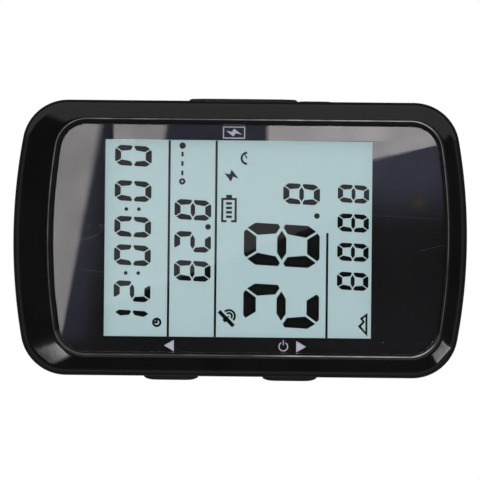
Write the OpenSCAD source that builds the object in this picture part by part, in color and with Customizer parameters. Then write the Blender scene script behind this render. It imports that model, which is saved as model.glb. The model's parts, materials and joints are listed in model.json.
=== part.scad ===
// GPS bike computer, lying on its back with the display facing up.
// +Z is out of the display, +Y is the top of the display, +X is its right side.
// The origin is under the middle of the case, on the face that the device rests on.

/* [Case] */
// Width of the case, left to right
case_w = 51; // [50.8:0.1:58]
// Length of the case, from the top of the display to its bottom
case_l = 84; // [83.4:0.1:96]
// Height of the case, without the mount under it
case_h = 15.6; // [15.4:0.1:19]
// Radius of the case's corners, seen from above
corner_r = 8.5; // [6.5:0.1:9.5]
// Radius of the wide arc that bows each short end
end_bow_r = 105; // [90:1:160]
// Radius of the rounded edge round the face of the top cover
top_edge_r = 1.8; // [1.2:0.1:2]
// How far the face slopes down from the lens to its rounded edge
face_drop = 0.45; // [0.2:0.05:0.6]
// Radius of the rounded edge round the back
back_edge_r = 4; // [2:0.1:4.2]
// Thickness of the side walls
wall_t = 2; // [1.9:0.05:2.1]
// Thickness of the rear cover's floor
floor_t = 1.6; // [1.4:0.05:1.8]
// Height of the joint between the covers, above the case's back
seam_h = 8.8; // [8.7:0.05:9.2]

/* [Lens] */
// Width of the case's face beside the lens
side_bezel_w = 4.4; // [4.2:0.05:4.8]
// Width of the case's face between its top end and the lens
top_bezel_w = 7.35; // [7.2:0.05:8]
// Width of the case's face between its bottom end and the lens
bottom_bezel_w = 4.15; // [4:0.05:4.6]
// Radius of the lens's corners
lens_corner_r = 5; // [4:0.1:6]
// Radius of the arc that bows each short end of the lens
lens_bow_r = 110; // [100:1:160]
// Thickness of the lens
lens_t = 1.2; // [1:0.05:1.4]
// Depth of the lens's face below the face of the top cover
lens_sink = 0.8; // [0.5:0.05:0.9]
// Width of the bevel that leads down to the lens
bevel_w = 0.8; // [0.4:0.05:0.9]

/* [Display] */
// Width of the black border of the lens beside the window
side_border_w = 2.9; // [2.6:0.05:3.4]
// Width of the black border of the lens above the window
top_border_w = 9.6; // [9.4:0.05:11]
// Width of the black border of the lens below the window
bottom_border_w = 13.5; // [13.2:0.05:15]
// Thickness of each of the display's two glass plates
glass_t = 0.65; // [0.6:0.05:0.7]
// Thickness of the light guide behind the display
guide_t = 1.4; // [1.2:0.05:1.5]

/* [Keys] */
// Length of each key, along the side of the case
key_l = 10.2; // [8:0.1:11]
// Height of each key
key_h = 3.2; // [2.4:0.1:3.3]
// How far each key stands out of the case
key_proud = 0.85; // [0.55:0.05:1.2]
// How far each key is pressed in
key_travel = 0.5; // [0.2:0.05:0.5]
// Distance of the page key's middle from the case's top end
page_key_end = 29.3; // [27:0.1:31]
// Place of the power key's middle, from the case's middle towards the top
power_key_y = -9.4; // [-13:0.1:-8]

/* [Port] */
// Length of the rubber cover over the charging port
cover_l = 20.2; // [18:0.1:21]
// Height of the rubber cover
cover_h = 4.2; // [4:0.05:4.3]
// How far the rubber cover stands out of the case
cover_proud = 0.75; // [0.4:0.05:1.1]
// Place of the port's middle, from the case's middle towards the top
port_y = -0.3; // [-1:0.1:1]
// Length of the strap that holds the rubber cover
strap_l = 6.2; // [5.6:0.1:8]

/* [Mount] */
// Diameter of the round boss of the quarter-turn mount
boss_d = 25.4; // [24:0.1:27]
// Distance across the two tabs of the mount
tab_span = 30.8; // [29.5:0.1:32]
// Thickness of the tabs
tab_t = 1.8; // [1.4:0.1:2]
// Width of each tab
tab_w = 12; // [8:0.5:14]
// Height of the mount below the case
mount_h = 3.6; // [3.2:0.1:4.4]

/* [Hidden] */
$fn = 64;
corner_steps = 7;
end_steps = 6;
edge_steps = 5;
// One overrun serves every cut, and one sliver every end slice of a crowned face
overrun = 0.5;
sliver = 0.01;
half_w = case_w / 2;
half_l = case_l / 2;
page_key_y = half_l - page_key_end;
lens_w = case_w - 2 * side_bezel_w;
lens_l = case_l - top_bezel_w - bottom_bezel_w;
lens_shift = (top_bezel_w - bottom_bezel_w) / 2;
window_w = lens_w - 2 * side_border_w;
window_l = lens_l - top_border_w - bottom_border_w;
window_shift = (bottom_border_w - top_border_w) / 2 - lens_shift;

// Heights, from the resting face up
back_z = mount_h;
floor_z = back_z + floor_t;
seam_z = back_z + seam_h;
face_z = back_z + case_h;
lens_top_z = face_z - lens_sink;
lens_z = lens_top_z - lens_t;
print_t = 0.05;
print_z = lens_z - print_t;
adhesive_t = 0.15;
adhesive_z = print_z - adhesive_t;
deck_t = 1.2;
deck_z = adhesive_z - deck_t;
gasket_t = 0.3;
front_glass_top_z = deck_z - gasket_t;
front_glass_z = front_glass_top_z - glass_t;
cell_gap = 0.05;
rear_glass_top_z = front_glass_z - cell_gap;
rear_glass_z = rear_glass_top_z - glass_t;
reflector_t = 0.2;
reflector_z = rear_glass_z - reflector_t;
guide_z = reflector_z - guide_t;
frame_shelf_t = 0.9;
board_top_z = guide_z - frame_shelf_t;
board_t = 1;
board_z = board_top_z - board_t;

// Joint between the covers
seam_bevel = 0.22;
rim_w = 0.25;
edge_turn = 78;
rebate_d = 1;
rebate_inset = 1;
lip_gap = 0.1;
lip_t = 0.8;
lip_h = 1.1;
lip_inset = wall_t + lip_gap;
inner_inset = lip_inset + lip_t;
seal_fit = 0.06;

// Case screws in the four corners
post_r = 2.6;
post_edge_gap = 0.9;
post_x = half_w - inner_inset - post_edge_gap - post_r;
post_end_gap = 3.3;
post_y = half_l - inner_inset - post_end_gap - post_r;
post_shrink = 0.1;
case_head_r = 1.75;
case_head_h = 1.3;
case_head_sink = 2;
case_shank_r = 0.95;
case_shank_l = 9.4;
thread_fit = 0.05;
hole_fit = 0.15;
head_fit = 0.25;
boss_floor = 0.4;
recess_share = 0.55;

// Board screws, which hold the board against the deck's short bosses
board_boss_r = 2;
board_screw_post_gap = 6.6;
board_screw_x = post_x - board_screw_post_gap;
board_screw_gap = 2.6;
board_head_r = 1.5;
board_head_h = 0.9;
board_shank_r = 0.7;
board_shank_l = 4.2;

// Lens and what lies under it
lens_gap = 0.1;
print_inset = 0.1;
window_margin = 0.7;

// Display
front_margin_x = 1.9;
front_margin_y = 1.6;
ledge_l = 3;
front_w = window_w + 2 * front_margin_x;
front_l = window_l + 2 * front_margin_y;
front_end_y = window_shift - front_l / 2;
cell_seal_w = 0.7;
segment_t = cell_gap;
frame_fit = 0.1;
frame_wall = 1;
shelf_w = 2.4;
frame_in_w = front_w + 2 * frame_fit;
frame_in_l = front_l + ledge_l + 2 * frame_fit;
frame_y = window_shift - ledge_l / 2;
frame_w = frame_in_w + 2 * frame_wall;
frame_l = frame_in_l + 2 * frame_wall;
frame_end_y = frame_y - frame_l / 2;
gasket_margin = 0.1;
guide_margin = 0.7;
guide_w = front_w - 2 * guide_margin;
guide_l = front_l - guide_margin;
guide_end_y = front_end_y + guide_margin / 2;
strip_t = 0.2;
strip_l = 2.6;
lamp_count = 4;
lamp_w = 2.4;
lamp_l = 1.1;
lamp_h = 0.9;
lamp_gap = 0.1;

// Ribbon from the rear glass's ledge to the board
ribbon_w = 16;
ribbon_t = 0.15;
ribbon_bend_r = 0.5;
ribbon_reach = 1.5;
ribbon_notch_fit = 0.4;
connector_l = 2.2;
connector_h = 1.1;
connector_gap = 0.15;
connector_margin = 1.4;
ribbon_x = ribbon_w / 2;
ribbon_end_y = frame_end_y - ribbon_reach;

// Board and what stands on it
board_gap = 0.6;
board_inset = inner_inset + board_gap;
board_half_w = half_w - board_inset;
board_half_l = half_l - board_inset;
post_clear = 0.4;
antenna_h = 3.6;
antenna_end_gap = 0.5;
antenna_frame_gap = 0.1;
antenna_high_y = board_half_l - antenna_end_gap;
antenna_low_y = frame_y + frame_l / 2 + antenna_frame_gap;
antenna_w = antenna_high_y - antenna_low_y;
antenna_y = (antenna_low_y + antenna_high_y) / 2;
electrode_inset = 1;
electrode_t = 0.05;
pin_r = 0.5;
chip_w = 7;
chip_h = 0.9;
chip_side = 8.6;
chip_end = 18.1;
chip_x = board_half_w - chip_side;
chip_y = board_half_l - chip_end;
memory_w = 5;
memory_l = 4;
memory_h = 0.8;
memory_end = 10.5;
memory_y = board_half_l - memory_end;
radio_w = 7;
radio_l = 2;
radio_h = 1.2;
radio_end = 2.3;
radio_y = board_half_l - radio_end;
buzzer_r = 4.5;
buzzer_h = 2.6;
buzzer_side = 6.4;
buzzer_end = 14.9;
buzzer_x = buzzer_side - board_half_w;
buzzer_y = board_half_l - buzzer_end;
buzzer_hole_r = 0.7;
can_l = 13;
can_h = 2.4;
can_t = 0.2;
can_buzzer_gap = 1.1;
can_chip_gap = 1.9;
can_end = 13.5;
can_low_x = buzzer_x + buzzer_r + can_buzzer_gap;
can_high_x = chip_x - chip_w / 2 - can_chip_gap;
can_w = can_high_x - can_low_x;
can_x = (can_low_x + can_high_x) / 2;
can_y = board_half_l - can_end;
small_w = 1.6;
small_l = 0.8;
small_h = 0.7;
small_pitch = 1.7;
small_count = 5;

// Switches and keys on the left side
switch_l = 6;
switch_d = 3.4;
switch_h = 3.3;
switch_edge = 0.2;
switch_x = board_half_w - switch_edge;
key_z = board_z - switch_h / 2;
plunger_r = 0.9;
plunger_fit = 0.05;
plunger_in = 1.3;
key_fit = 0.15;
key_crown = 0.7;
key_dome = 0.35;
flange_rim = 0.55;
flange_t = 0.5;
seal_t = 0.3;
key_gap = 0.05;
wall_in_x = half_w - wall_t;
seal_x = wall_in_x - seal_t;
flange_x = seal_x - key_gap;
plunger_x = flange_x - flange_t - key_gap;

// Charging port and its cover on the right side
socket_w = 8.94;
socket_h = 3.26;
socket_l = 7.35;
socket_t = 0.3;
socket_gap = 0.1;
socket_z = board_z - socket_h / 2;
tongue_w = 6.6;
tongue_t = 0.7;
tongue_back = 0.8;
port_wall = 0.8;
opening_w = 9.8;
opening_h = 3.6;
cover_seat = wall_t - port_wall;
cover_fit = 0.12;
cover_corner_r = 1.6;
cover_dome = 0.5;
plug_fit = 0.22;
plug_gap = 0.1;
plug_l = port_wall - plug_gap;
hinge_gap = 0.2;
hinge_y = port_y - cover_l / 2 - hinge_gap / 2;
strap_h = 3;
strap_proud = 0.4;
strap_d = 0.9;
peg_r = 1.1;
peg_y = hinge_y - strap_l + strap_h / 2;
peg_head_r = 1.7;
peg_head_l = 0.6;

// Battery, between the switches, the socket, the posts at the bottom and the shield can
battery_t = 4.2;
battery_switch_gap = 1;
battery_socket_gap = 0.85;
battery_post_gap = 0.4;
battery_can_gap = 8.7;
battery_low_x = switch_d + battery_switch_gap - switch_x;
battery_high_x = wall_in_x - socket_gap - socket_l - battery_socket_gap;
battery_low_y = post_r + battery_post_gap - post_y;
battery_high_y = can_y - can_l / 2 - battery_can_gap;
battery_w = battery_high_x - battery_low_x;
battery_l = battery_high_y - battery_low_y;
battery_x = (battery_low_x + battery_high_x) / 2;
battery_y = (battery_low_y + battery_high_y) / 2;
pad_t = 0.3;
pad_inset = 2;
battery_r = 1.6;
lead_r = 0.5;
lead_run = 1.6;
lead_bend_r = 1.6;
lead_out = 2.4;
lead_edge = 0.25;
lead_z = floor_z + pad_t + battery_t - lead_r - lead_edge;
lead_side = 5.4;
lead_x = battery_low_x + lead_side;
lead_space = 2.4;
plug_w = 3;
plug_h = 2;
plug_len = 5;
plug_base = 0.8;

// Mount, its screws and its seal
mount_screw_pcd = 17;
mount_head_r = 1.75;
mount_head_h = 0.8;
mount_shank_r = 0.95;
mount_skin = 1.1;
mount_notch_r = 1.1;
mount_lead = 0.4;
ring_r = 11;
ring_section_r = 0.4;
ring_groove_w = 1;
ring_groove_d = 0.85;

// Pressure sensor, beside the battery's leads, and its vent
baro_w = 3;
baro_h = 1;
baro_side = 7.4;
baro_battery_gap = 3.8;
baro_x = board_half_w - baro_side;
baro_y = battery_high_y + baro_battery_gap;
vent_hole_r = 0.4;
vent_pcd_r = 1.1;
membrane_r = 2.2;
membrane_t = 0.25;

// Strokes that are lit in each digit, in the order a b c d e f g
digit_strokes = [
    [1, 1, 1, 1, 1, 1, 0], [0, 1, 1, 0, 0, 0, 0], [1, 1, 0, 1, 1, 0, 1], [1, 1, 1, 1, 0, 0, 1],
    [0, 1, 1, 0, 0, 1, 1], [1, 0, 1, 1, 0, 1, 1], [1, 0, 1, 1, 1, 1, 1], [1, 1, 1, 0, 0, 0, 0],
    [1, 1, 1, 1, 1, 1, 1], [1, 1, 1, 1, 0, 1, 1]
];
slant = 3;
rule_t = 0.42;
// Corners of the strokes, in strokes' widths in from the digit's side and end.
// The cross stroke and the upright are set from the digit's corner, the bar from its middle.
cross_cuts = [[0.84, 0], [0.6, 0.2], [1.18, 1.06]];
upright_cuts = [[0, 0.98], [0.46, 0.3], [1.03, 1.16]];
upright_feet = [[0.82, 0.5], [0.28, 0.14], [0, 0.3]];
bar_cuts = [[0.53, 0], [1.14, 0.39]];
// Rows of digits. Shares of the window's width and length, from its middle, except the stroke
clock_digits = [1, 2, 0, 0, 0, 0];
clock_x_shares = [-0.421, -0.272, -0.088, 0.057, 0.239, 0.419];
clock_y_share = 0.397;
clock_size_shares = [0.104, 0.138];
colon_x_shares = [-0.179, 0.147];
colon_y_shares = [0.3745, 0.4215];
trip_digits = [8, 2, 8];
trip_x_shares = [-0.165, -0.017, 0.146];
trip_y_share = 0.1715;
trip_size_shares = [0.103, 0.138];
trip_dot_shares = [0.06, 0.114];
speed_digits = [2, 8];
speed_x_shares = [-0.34, -0.03];
speed_y_share = -0.1635;
speed_size_shares = [0.2145, 0.2845];
tenth_digits = [8];
tenth_x_shares = [0.2315];
tenth_y_share = -0.2362;
tenth_size_shares = [0.105, 0.138];
speed_dot_shares = [0.121, -0.2945];
height_digits = [8, 8, 8, 8];
height_x_shares = [-0.21, -0.062, 0.087, 0.235];
height_y_share = -0.431;
height_size_shares = [0.0915, 0.118];
stroke_share = 0.28;
small_dot_share = 0.0095;
large_dot_share = 0.0145;
rule_y_shares = [0.261, 0.0845];
short_rule_y_share = -0.3345;
short_rule_end_share = 0.035;
// Small symbols of the display, as shares of the window again
battery_sign_shares = [0.1545, 0.036];
battery_sign_size_shares = [0.14, 0.0585];
battery_bar_share = 0.38;
battery_bar_t_share = 0.56;
battery_notch_share = 0.28;
bolt_sign_shares = [0.3225, 0.0275];
bolt_sign_size_shares = [0.0615, 0.054];
satellite_sign_shares = [-0.393, 0.032];
satellite_sign_share = 0.0354;
panel_shares = [-0.55, 0.56, 3];
body_shares = [-0.7, 0.76, 0.56];
aerial_shares = [-0.2, 0.4, 0.2];
wave_line_share = 0.3;
hill_sign_shares = [-0.43, -0.47];
hill_sign_size_shares = [0.12, 0.036];
clock_sign_shares = [-0.429, 0.303];
clock_sign_share = 0.024;
route_sign_shares = [0.382, 0.2125];
route_sign_size_shares = [0.215, 0.024];
gauge_sign_shares = [0.4115, -0.0305];
gauge_sign_share = 0.034;
sign_line_share = 0.0112;
// Marks printed beside the window, each next to its key or to the port
mark_line = 0.2;
mark_gap = 1.45;
mark_x = window_w / 2 + mark_gap;
key_mark_gap = 1.65;
key_mark_x = window_w / 2 + key_mark_gap;
charge_mark_up = 1.6;
charge_mark_y = port_y + charge_mark_up;
charge_mark_size = [2.25, 4.1];
up_mark_up = 0.25;
up_mark_y = page_key_y + up_mark_up;
down_mark_down = 2.1;
down_mark_y = power_key_y - down_mark_down;
arrow_size = [2.1, 1.8];
power_mark_up = 1.2;
power_mark_y = power_key_y + power_mark_up;
power_mark_r = 0.9;

// Outline with straight long sides, short ends bowed on a wide arc, and round corners.
// The second half is the first one turned by half a turn.
function bowed_outline(w, l, bow_r, r) =
    let (
        side_x = w / 2 - r,
        turn = asin(side_x / (bow_r - r)),
        bow_y = l / 2 - bow_r,
        side_y = bow_y + (bow_r - r) * cos(turn),
        corner = [
            for (i = [0 : corner_steps])
                let (a = (90 - turn) * i / corner_steps)
                [side_x + r * cos(a), side_y + r * sin(a)]
        ],
        bow = [
            for (i = [1 : end_steps - 1])
                let (a = turn - 2 * turn * i / end_steps)
                [bow_r * sin(a), bow_y + bow_r * cos(a)]
        ],
        far_corner = [for (i = [corner_steps : -1 : 0]) [-corner[i].x, corner[i].y]],
        half = concat(corner, bow, far_corner)
    )
    concat(half, [for (p = half) -p]);

function case_points(inset) =
    bowed_outline(case_w - 2 * inset, case_l - 2 * inset, end_bow_r - inset, corner_r - inset);

function lens_points(grow) = [
    for (p = bowed_outline(lens_w + 2 * grow, lens_l + 2 * grow, lens_bow_r + grow, lens_corner_r + grow))
        [p.x, p.y - lens_shift]
];

module lens_prism(z, h, grow) {
    translate([0, 0, z])
        linear_extrude(height = h)
            polygon(lens_points(grow));
}

module case_prism(z, h, inset) {
    translate([0, 0, z])
        linear_extrude(height = h)
            polygon(case_points(inset));
}

module case_ring(z, h, outer_inset, ring_inset) {
    difference() {
        case_prism(z, h, outer_inset);
        case_prism(z - overrun, h + 2 * overrun, ring_inset);
    }
}

// Closed solid through outlines with the same number of points, one at each height
module lofted(outlines, heights) {
    n = len(outlines[0]);
    last = len(heights) - 1;
    points = [for (k = [0 : last]) for (p = outlines[k]) [p.x, p.y, heights[k]]];
    sides = [
        for (k = [0 : last - 1])
            for (i = [0 : n - 1])
                let (a = k * n + i, b = k * n + (i + 1) % n)
                [a, a + n, b + n, b]
    ];
    bottom = [for (i = [0 : n - 1]) i];
    top = [for (i = [n - 1 : -1 : 0]) last * n + i];
    polyhedron(points, concat([bottom], sides, [top]));
}

// Half of the case with a rounded edge: rings are given as height and inset
module rounded_case(rings) {
    lofted([for (r = rings) case_points(r[1])], [for (r = rings) r[0]]);
}

// Top half of the case: side, rounded edge and a face that slopes up to the rim round the lens
module top_form() {
    arc_z = face_z - face_drop - top_edge_r * sin(edge_turn);
    arc = [
        for (i = [0 : edge_steps])
            let (a = edge_turn * i / edge_steps)
            [arc_z + top_edge_r * sin(a), top_edge_r * (1 - cos(a))]
    ];
    rings = concat([[seam_z, seam_bevel], [seam_z + seam_bevel, 0]], arc);
    lofted(
        concat([for (r = rings) case_points(r[1])], [lens_points(lens_gap + bevel_w + rim_w)]),
        concat([for (r = rings) r[0]], [face_z])
    );
}

// Box from a low corner and a size, and box centred on a point in X and Y
module block(x, y, z, size) {
    translate([x, y, z])
        cube(size);
}

module middle_block(x, y, z, size) {
    block(x - size.x / 2, y - size.y / 2, z, size);
}

module rod(x, y, z, r, h) {
    translate([x, y, z])
        cylinder(r = r, h = h);
}

// Rectangle with round corners, or with round ends where r is half of h
module rounded_rect(l, h, r) {
    straight = h - 2 * r;
    square([l - 2 * r, h], center = true);
    if (straight > sliver) square([l, straight], center = true);
    for (sx = [-1, 1], sy = straight > sliver ? [-1, 1] : [0])
        translate([sx * (l / 2 - r), sy * (h / 2 - r)])
            circle(r);
}

// Plate on its side, rounded in Y and Z, from x_in by depth along +X
module side_plate(x_in, y, z, depth, l, h, r) {
    translate([x_in, y, z])
        rotate([90, 0, 90])
            linear_extrude(height = depth)
                rounded_rect(l, h, r);
}

module at_posts() {
    for (sx = [-1, 1], sy = [-1, 1])
        translate([sx * post_x, sy * post_y, 0])
            children();
}

board_screw_top_y = board_half_l - board_screw_gap;
board_screw_low_y = board_screw_gap - board_half_l;

module at_board_screws() {
    for (sx = [-1, 1], y = [board_screw_low_y, board_screw_top_y])
        translate([sx * board_screw_x, y, 0])
            children();
}

module at_mount_screws() {
    for (a = [45 : 90 : 315])
        rotate([0, 0, a])
            translate([mount_screw_pcd / 2, 0, 0])
                children();
}

// Screw that points up: its head starts at z, and its shank goes on above the head
module screw_up(z, head_r, head_h, shank_r, shank_l) {
    recess_h = head_h * recess_share;
    difference() {
        union() {
            rod(0, 0, z, head_r, head_h);
            rod(0, 0, z + head_h, shank_r, shank_l);
        }
        translate([0, 0, z - overrun])
            cylinder(r = head_r * recess_share, h = recess_h + overrun, $fn = 6);
    }
}

case_head_z = back_z + case_head_sink - case_head_h;
case_thread_top_z = back_z + case_head_sink + case_shank_l + boss_floor;

module top_cover() {
    bevel_grow = lens_gap + bevel_w;
    color("#1b1b1d")
        difference() {
            union() {
                difference() {
                    top_form();
                    case_prism(seam_z - overrun, deck_z - seam_z + overrun, wall_t);
                }
                case_ring(seam_z, lip_h, rebate_inset, inner_inset);
                case_ring(seam_z - lip_h, 2 * lip_h, lip_inset, inner_inset);
                at_posts()
                    rod(0, 0, seam_z + post_shrink, post_r, deck_z - seam_z);
                at_board_screws()
                    rod(0, 0, board_top_z, board_boss_r, deck_z - board_top_z + deck_t / 2);
            }
            // Pocket for the lens, with its bevel
            lens_prism(adhesive_z, face_z - adhesive_z + overrun, lens_gap);
            lofted(
                [lens_points(lens_gap), lens_points(bevel_grow), lens_points(bevel_grow)],
                [lens_top_z, face_z, face_z + overrun]
            );
            // Window through the deck
            middle_block(
                0, window_shift, deck_z - overrun,
                [window_w + 2 * window_margin, window_l + 2 * window_margin, deck_t + 2 * overrun]
            );
            at_posts()
                rod(0, 0, seam_z - overrun, case_shank_r + thread_fit, case_thread_top_z - seam_z + overrun);
            at_board_screws()
                rod(0, 0, board_top_z - overrun, board_shank_r + thread_fit, board_shank_l + overrun);
        }
}

module rear_cover() {
    color("#1e1f21")
        difference() {
            union() {
                difference() {
                    rounded_case(concat(
                        [
                            for (i = [0 : edge_steps])
                                let (a = 90 * i / edge_steps)
                                [back_z + back_edge_r * (1 - cos(a)), back_edge_r * (1 - sin(a))]
                        ],
                        [[seam_z - seam_bevel, 0], [seam_z, seam_bevel]]
                    ));
                    case_prism(floor_z, seam_z - floor_z + overrun, wall_t);
                }
                at_posts()
                    rod(0, 0, floor_z - floor_t / 2, post_r, seam_z - floor_z + floor_t / 2);
            }
            case_ring(seam_z - rebate_d, rebate_d + overrun, rebate_inset, wall_t + overrun);
            // Case screws, with their heads sunk in the back
            at_posts() {
                rod(0, 0, back_z - overrun, case_head_r + head_fit, case_head_sink + overrun);
                rod(0, 0, back_z, case_shank_r + hole_fit, seam_h + overrun);
            }
            // Slots for the two keys
            for (y = [page_key_y, power_key_y])
                side_plate(
                    -half_w - overrun, y, key_z, wall_t + 2 * overrun,
                    key_l + 2 * key_fit, key_h + 2 * key_fit, key_h / 2 + key_fit
                );
            // Seat of the port's cover, its strap and the opening behind it
            side_plate(
                half_w - cover_seat, port_y, socket_z, cover_seat + overrun,
                cover_l + 2 * cover_fit, cover_h + 2 * cover_fit, cover_corner_r + cover_fit
            );
            side_plate(
                half_w - strap_d, hinge_y - strap_l / 2 + strap_h / 4, socket_z, strap_d + overrun,
                strap_l + strap_h / 2, strap_h + 2 * cover_fit, strap_h / 2
            );
            side_plate(
                wall_in_x - overrun, port_y, socket_z, wall_t + 2 * overrun,
                opening_w, opening_h, opening_h / 2 - socket_t
            );
            translate([wall_in_x - overrun, peg_y, socket_z])
                rotate([0, 90, 0])
                    cylinder(r = peg_r + cover_fit, h = wall_t + 2 * overrun);
            // Vent to the pressure sensor, and holes for the mount's screws
            for (a = [0 : 120 : 240])
                translate([baro_x, baro_y, 0])
                    rotate([0, 0, a])
                        rod(vent_pcd_r, 0, back_z - overrun, vent_hole_r, floor_t + 2 * overrun);
            at_mount_screws() {
                rod(0, 0, back_z - overrun, mount_shank_r + hole_fit, floor_t + 2 * overrun);
                rod(0, 0, floor_z - mount_head_h, mount_head_r + hole_fit, mount_head_h + overrun);
            }
        }
}

module case_seal() {
    color("#3a3b3d")
        case_ring(seam_z - rebate_d, rebate_d, rebate_inset + seal_fit, wall_t - seal_fit);
}

module case_screws() {
    color("#5d5f63")
        at_posts()
            screw_up(case_head_z, case_head_r, case_head_h, case_shank_r, case_shank_l);
}

module lens() {
    color("#2a3138", 0.35)
        lens_prism(lens_z, lens_t, 0);
}

// Every printed mark, h thick and starting at z
module marks(z, h) {
    translate([mark_x, charge_mark_y, z]) {
        difference() {
            middle_block(0, 0, 0, [charge_mark_size.x, charge_mark_size.y, h]);
            middle_block(
                0, 0, -overrun,
                [charge_mark_size.x - 2 * mark_line, charge_mark_size.y - 2 * mark_line, h + 2 * overrun]
            );
        }
        bolt(charge_mark_size.x - 4 * mark_line, charge_mark_size.y - 6 * mark_line, h);
    }
    arrow([-key_mark_x, up_mark_y, z], 1, h);
    arrow([-key_mark_x, down_mark_y, z], -1, h);
    translate([-key_mark_x, power_mark_y, z])
        power_sign(power_mark_r, mark_line, h);
}

// Triangle that points towards the top of the display, or towards its bottom where way is -1
module arrow(place, way, h) {
    translate(place)
        linear_extrude(height = h)
            polygon([
                [-arrow_size.x / 2, -way * arrow_size.y / 2],
                [arrow_size.x / 2, -way * arrow_size.y / 2],
                [0, way * arrow_size.y / 2]
            ]);
}

// Lightning bolt, w wide and l long. The points are shares of both
bolt_shares = [[0.22, 0.5], [-0.5, 0.05], [-0.08, -0.11], [-0.25, -0.5], [0.5, 0], [0.1, 0.14]];

module bolt(w, l, h) {
    linear_extrude(height = h)
        polygon([for (s = bolt_shares) [s.x * w, s.y * l]]);
}

// Ring with a gap towards +X, and a short bar that stands in the gap
module power_sign(r, line, h) {
    difference() {
        cylinder(r = r, h = h);
        translate([0, 0, -overrun])
            cylinder(r = r - line, h = h + 2 * overrun);
        middle_block(r, 0, -overrun, [2 * line + r, 4 * line, h + 2 * overrun]);
    }
    middle_block(r - line, 0, 0, [r, line, h]);
}

module lens_print() {
    color("#0b0c0e")
        difference() {
            lens_prism(print_z, print_t, -print_inset);
            middle_block(0, window_shift, print_z - overrun, [window_w, window_l, print_t + 2 * overrun]);
            marks(print_z - overrun, print_t + 2 * overrun);
        }
}

module lens_marks() {
    color("#b9b8c4")
        marks(print_z, print_t);
}

module lens_adhesive() {
    color("#3b3b3b")
        difference() {
            lens_prism(adhesive_z, adhesive_t, -print_inset);
            middle_block(
                0, window_shift, adhesive_z - overrun,
                [window_w + 2 * window_margin, window_l + 2 * window_margin, adhesive_t + 2 * overrun]
            );
        }
}

// Frame of height h round an opening, both centred on the same place
module ring_block(y, z, outer, inner, h) {
    difference() {
        middle_block(0, y, z, [outer.x, outer.y, h]);
        middle_block(0, y, z - overrun, [inner.x, inner.y, h + 2 * overrun]);
    }
}

module display_gasket() {
    color("#1c1c1e")
        ring_block(
            window_shift, front_glass_top_z, [front_w - gasket_margin, front_l - gasket_margin],
            [window_w + 2 * window_margin + gasket_margin, window_l + 2 * window_margin + gasket_margin],
            gasket_t
        );
}

module front_glass() {
    color("#cfd8da", 0.4)
        middle_block(0, window_shift, front_glass_z, [front_w, front_l, glass_t]);
}

module cell_seal() {
    color("#8b8f8e")
        ring_block(
            window_shift, rear_glass_top_z, [front_w, front_l],
            [front_w - 2 * cell_seal_w, front_l - 2 * cell_seal_w], cell_gap
        );
}

module rear_glass() {
    color("#b6c6c8")
        middle_block(0, frame_y, rear_glass_z, [front_w, front_l + ledge_l, glass_t]);
}

module reflector() {
    color("#c9d4d4")
        middle_block(0, window_shift, reflector_z, [front_w, front_l, reflector_t]);
}

// One stroke of a digit: its points on the upper right side, flipped by sx and sy, then slanted
module stroke(points, sx, sy) {
    linear_extrude(height = segment_t)
        polygon([for (p = points) [sx * p.x + sy * p.y * tan(slant), sy * p.y]]);
}

// Digit of the seven-stroke kind, w wide and l long, centred on the origin
module digit(value, w, l) {
    lit = digit_strokes[value];
    a = w / 2;
    b = l / 2;
    t = w * stroke_share;
    half_cross = [for (c = cross_cuts) [a - c.x * t, b - c.y * t]];
    cross = concat(half_cross, [for (i = [2, 1, 0]) [-half_cross[i].x, half_cross[i].y]]);
    upright = concat(
        [for (c = upright_cuts) [a - c.x * t, b - c.y * t]],
        [for (c = upright_feet) [a - c.x * t, c.y * t]]
    );
    half_bar = [for (c = bar_cuts) [a - c.x * t, c.y * t]];
    bar = concat(
        half_bar,
        [for (i = [1, 0]) [-half_bar[i].x, half_bar[i].y]],
        [[-half_bar[1].x, -half_bar[1].y], [half_bar[1].x, -half_bar[1].y]]
    );
    if (lit[0] == 1) stroke(cross, 1, 1);
    if (lit[1] == 1) stroke(upright, 1, 1);
    if (lit[2] == 1) stroke(upright, 1, -1);
    if (lit[3] == 1) stroke(cross, 1, -1);
    if (lit[4] == 1) stroke(upright, -1, -1);
    if (lit[5] == 1) stroke(upright, -1, 1);
    if (lit[6] == 1) stroke(bar, 1, 1);
}

// Moves a child to a place given as shares of the window, on top of the rear glass
module in_window(x_share, y_share) {
    translate([x_share * window_w, window_shift + y_share * window_l, rear_glass_top_z])
        children();
}

module digit_row(digits, x_shares, y_share, size_shares) {
    for (i = [0 : len(digits) - 1])
        in_window(x_shares[i], y_share)
            digit(digits[i], size_shares[0] * window_w, size_shares[1] * window_l);
}

module dot(x_share, y_share, r) {
    in_window(x_share, y_share)
        cylinder(r = r, h = segment_t, $fn = 32);
}

module display_digits() {
    color("#14201f") {
        digit_row(clock_digits, clock_x_shares, clock_y_share, clock_size_shares);
        for (x = colon_x_shares, y = colon_y_shares)
            dot(x, y, small_dot_share * window_w);
        digit_row(trip_digits, trip_x_shares, trip_y_share, trip_size_shares);
        dot(trip_dot_shares.x, trip_dot_shares.y, large_dot_share * window_w);
        digit_row(speed_digits, speed_x_shares, speed_y_share, speed_size_shares);
        digit_row(tenth_digits, tenth_x_shares, tenth_y_share, tenth_size_shares);
        dot(speed_dot_shares.x, speed_dot_shares.y, large_dot_share * window_w);
        digit_row(height_digits, height_x_shares, height_y_share, height_size_shares);
    }
}

module flat_bar(x, y, size) {
    middle_block(x, y, 0, [size.x, size.y, segment_t]);
}

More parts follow.
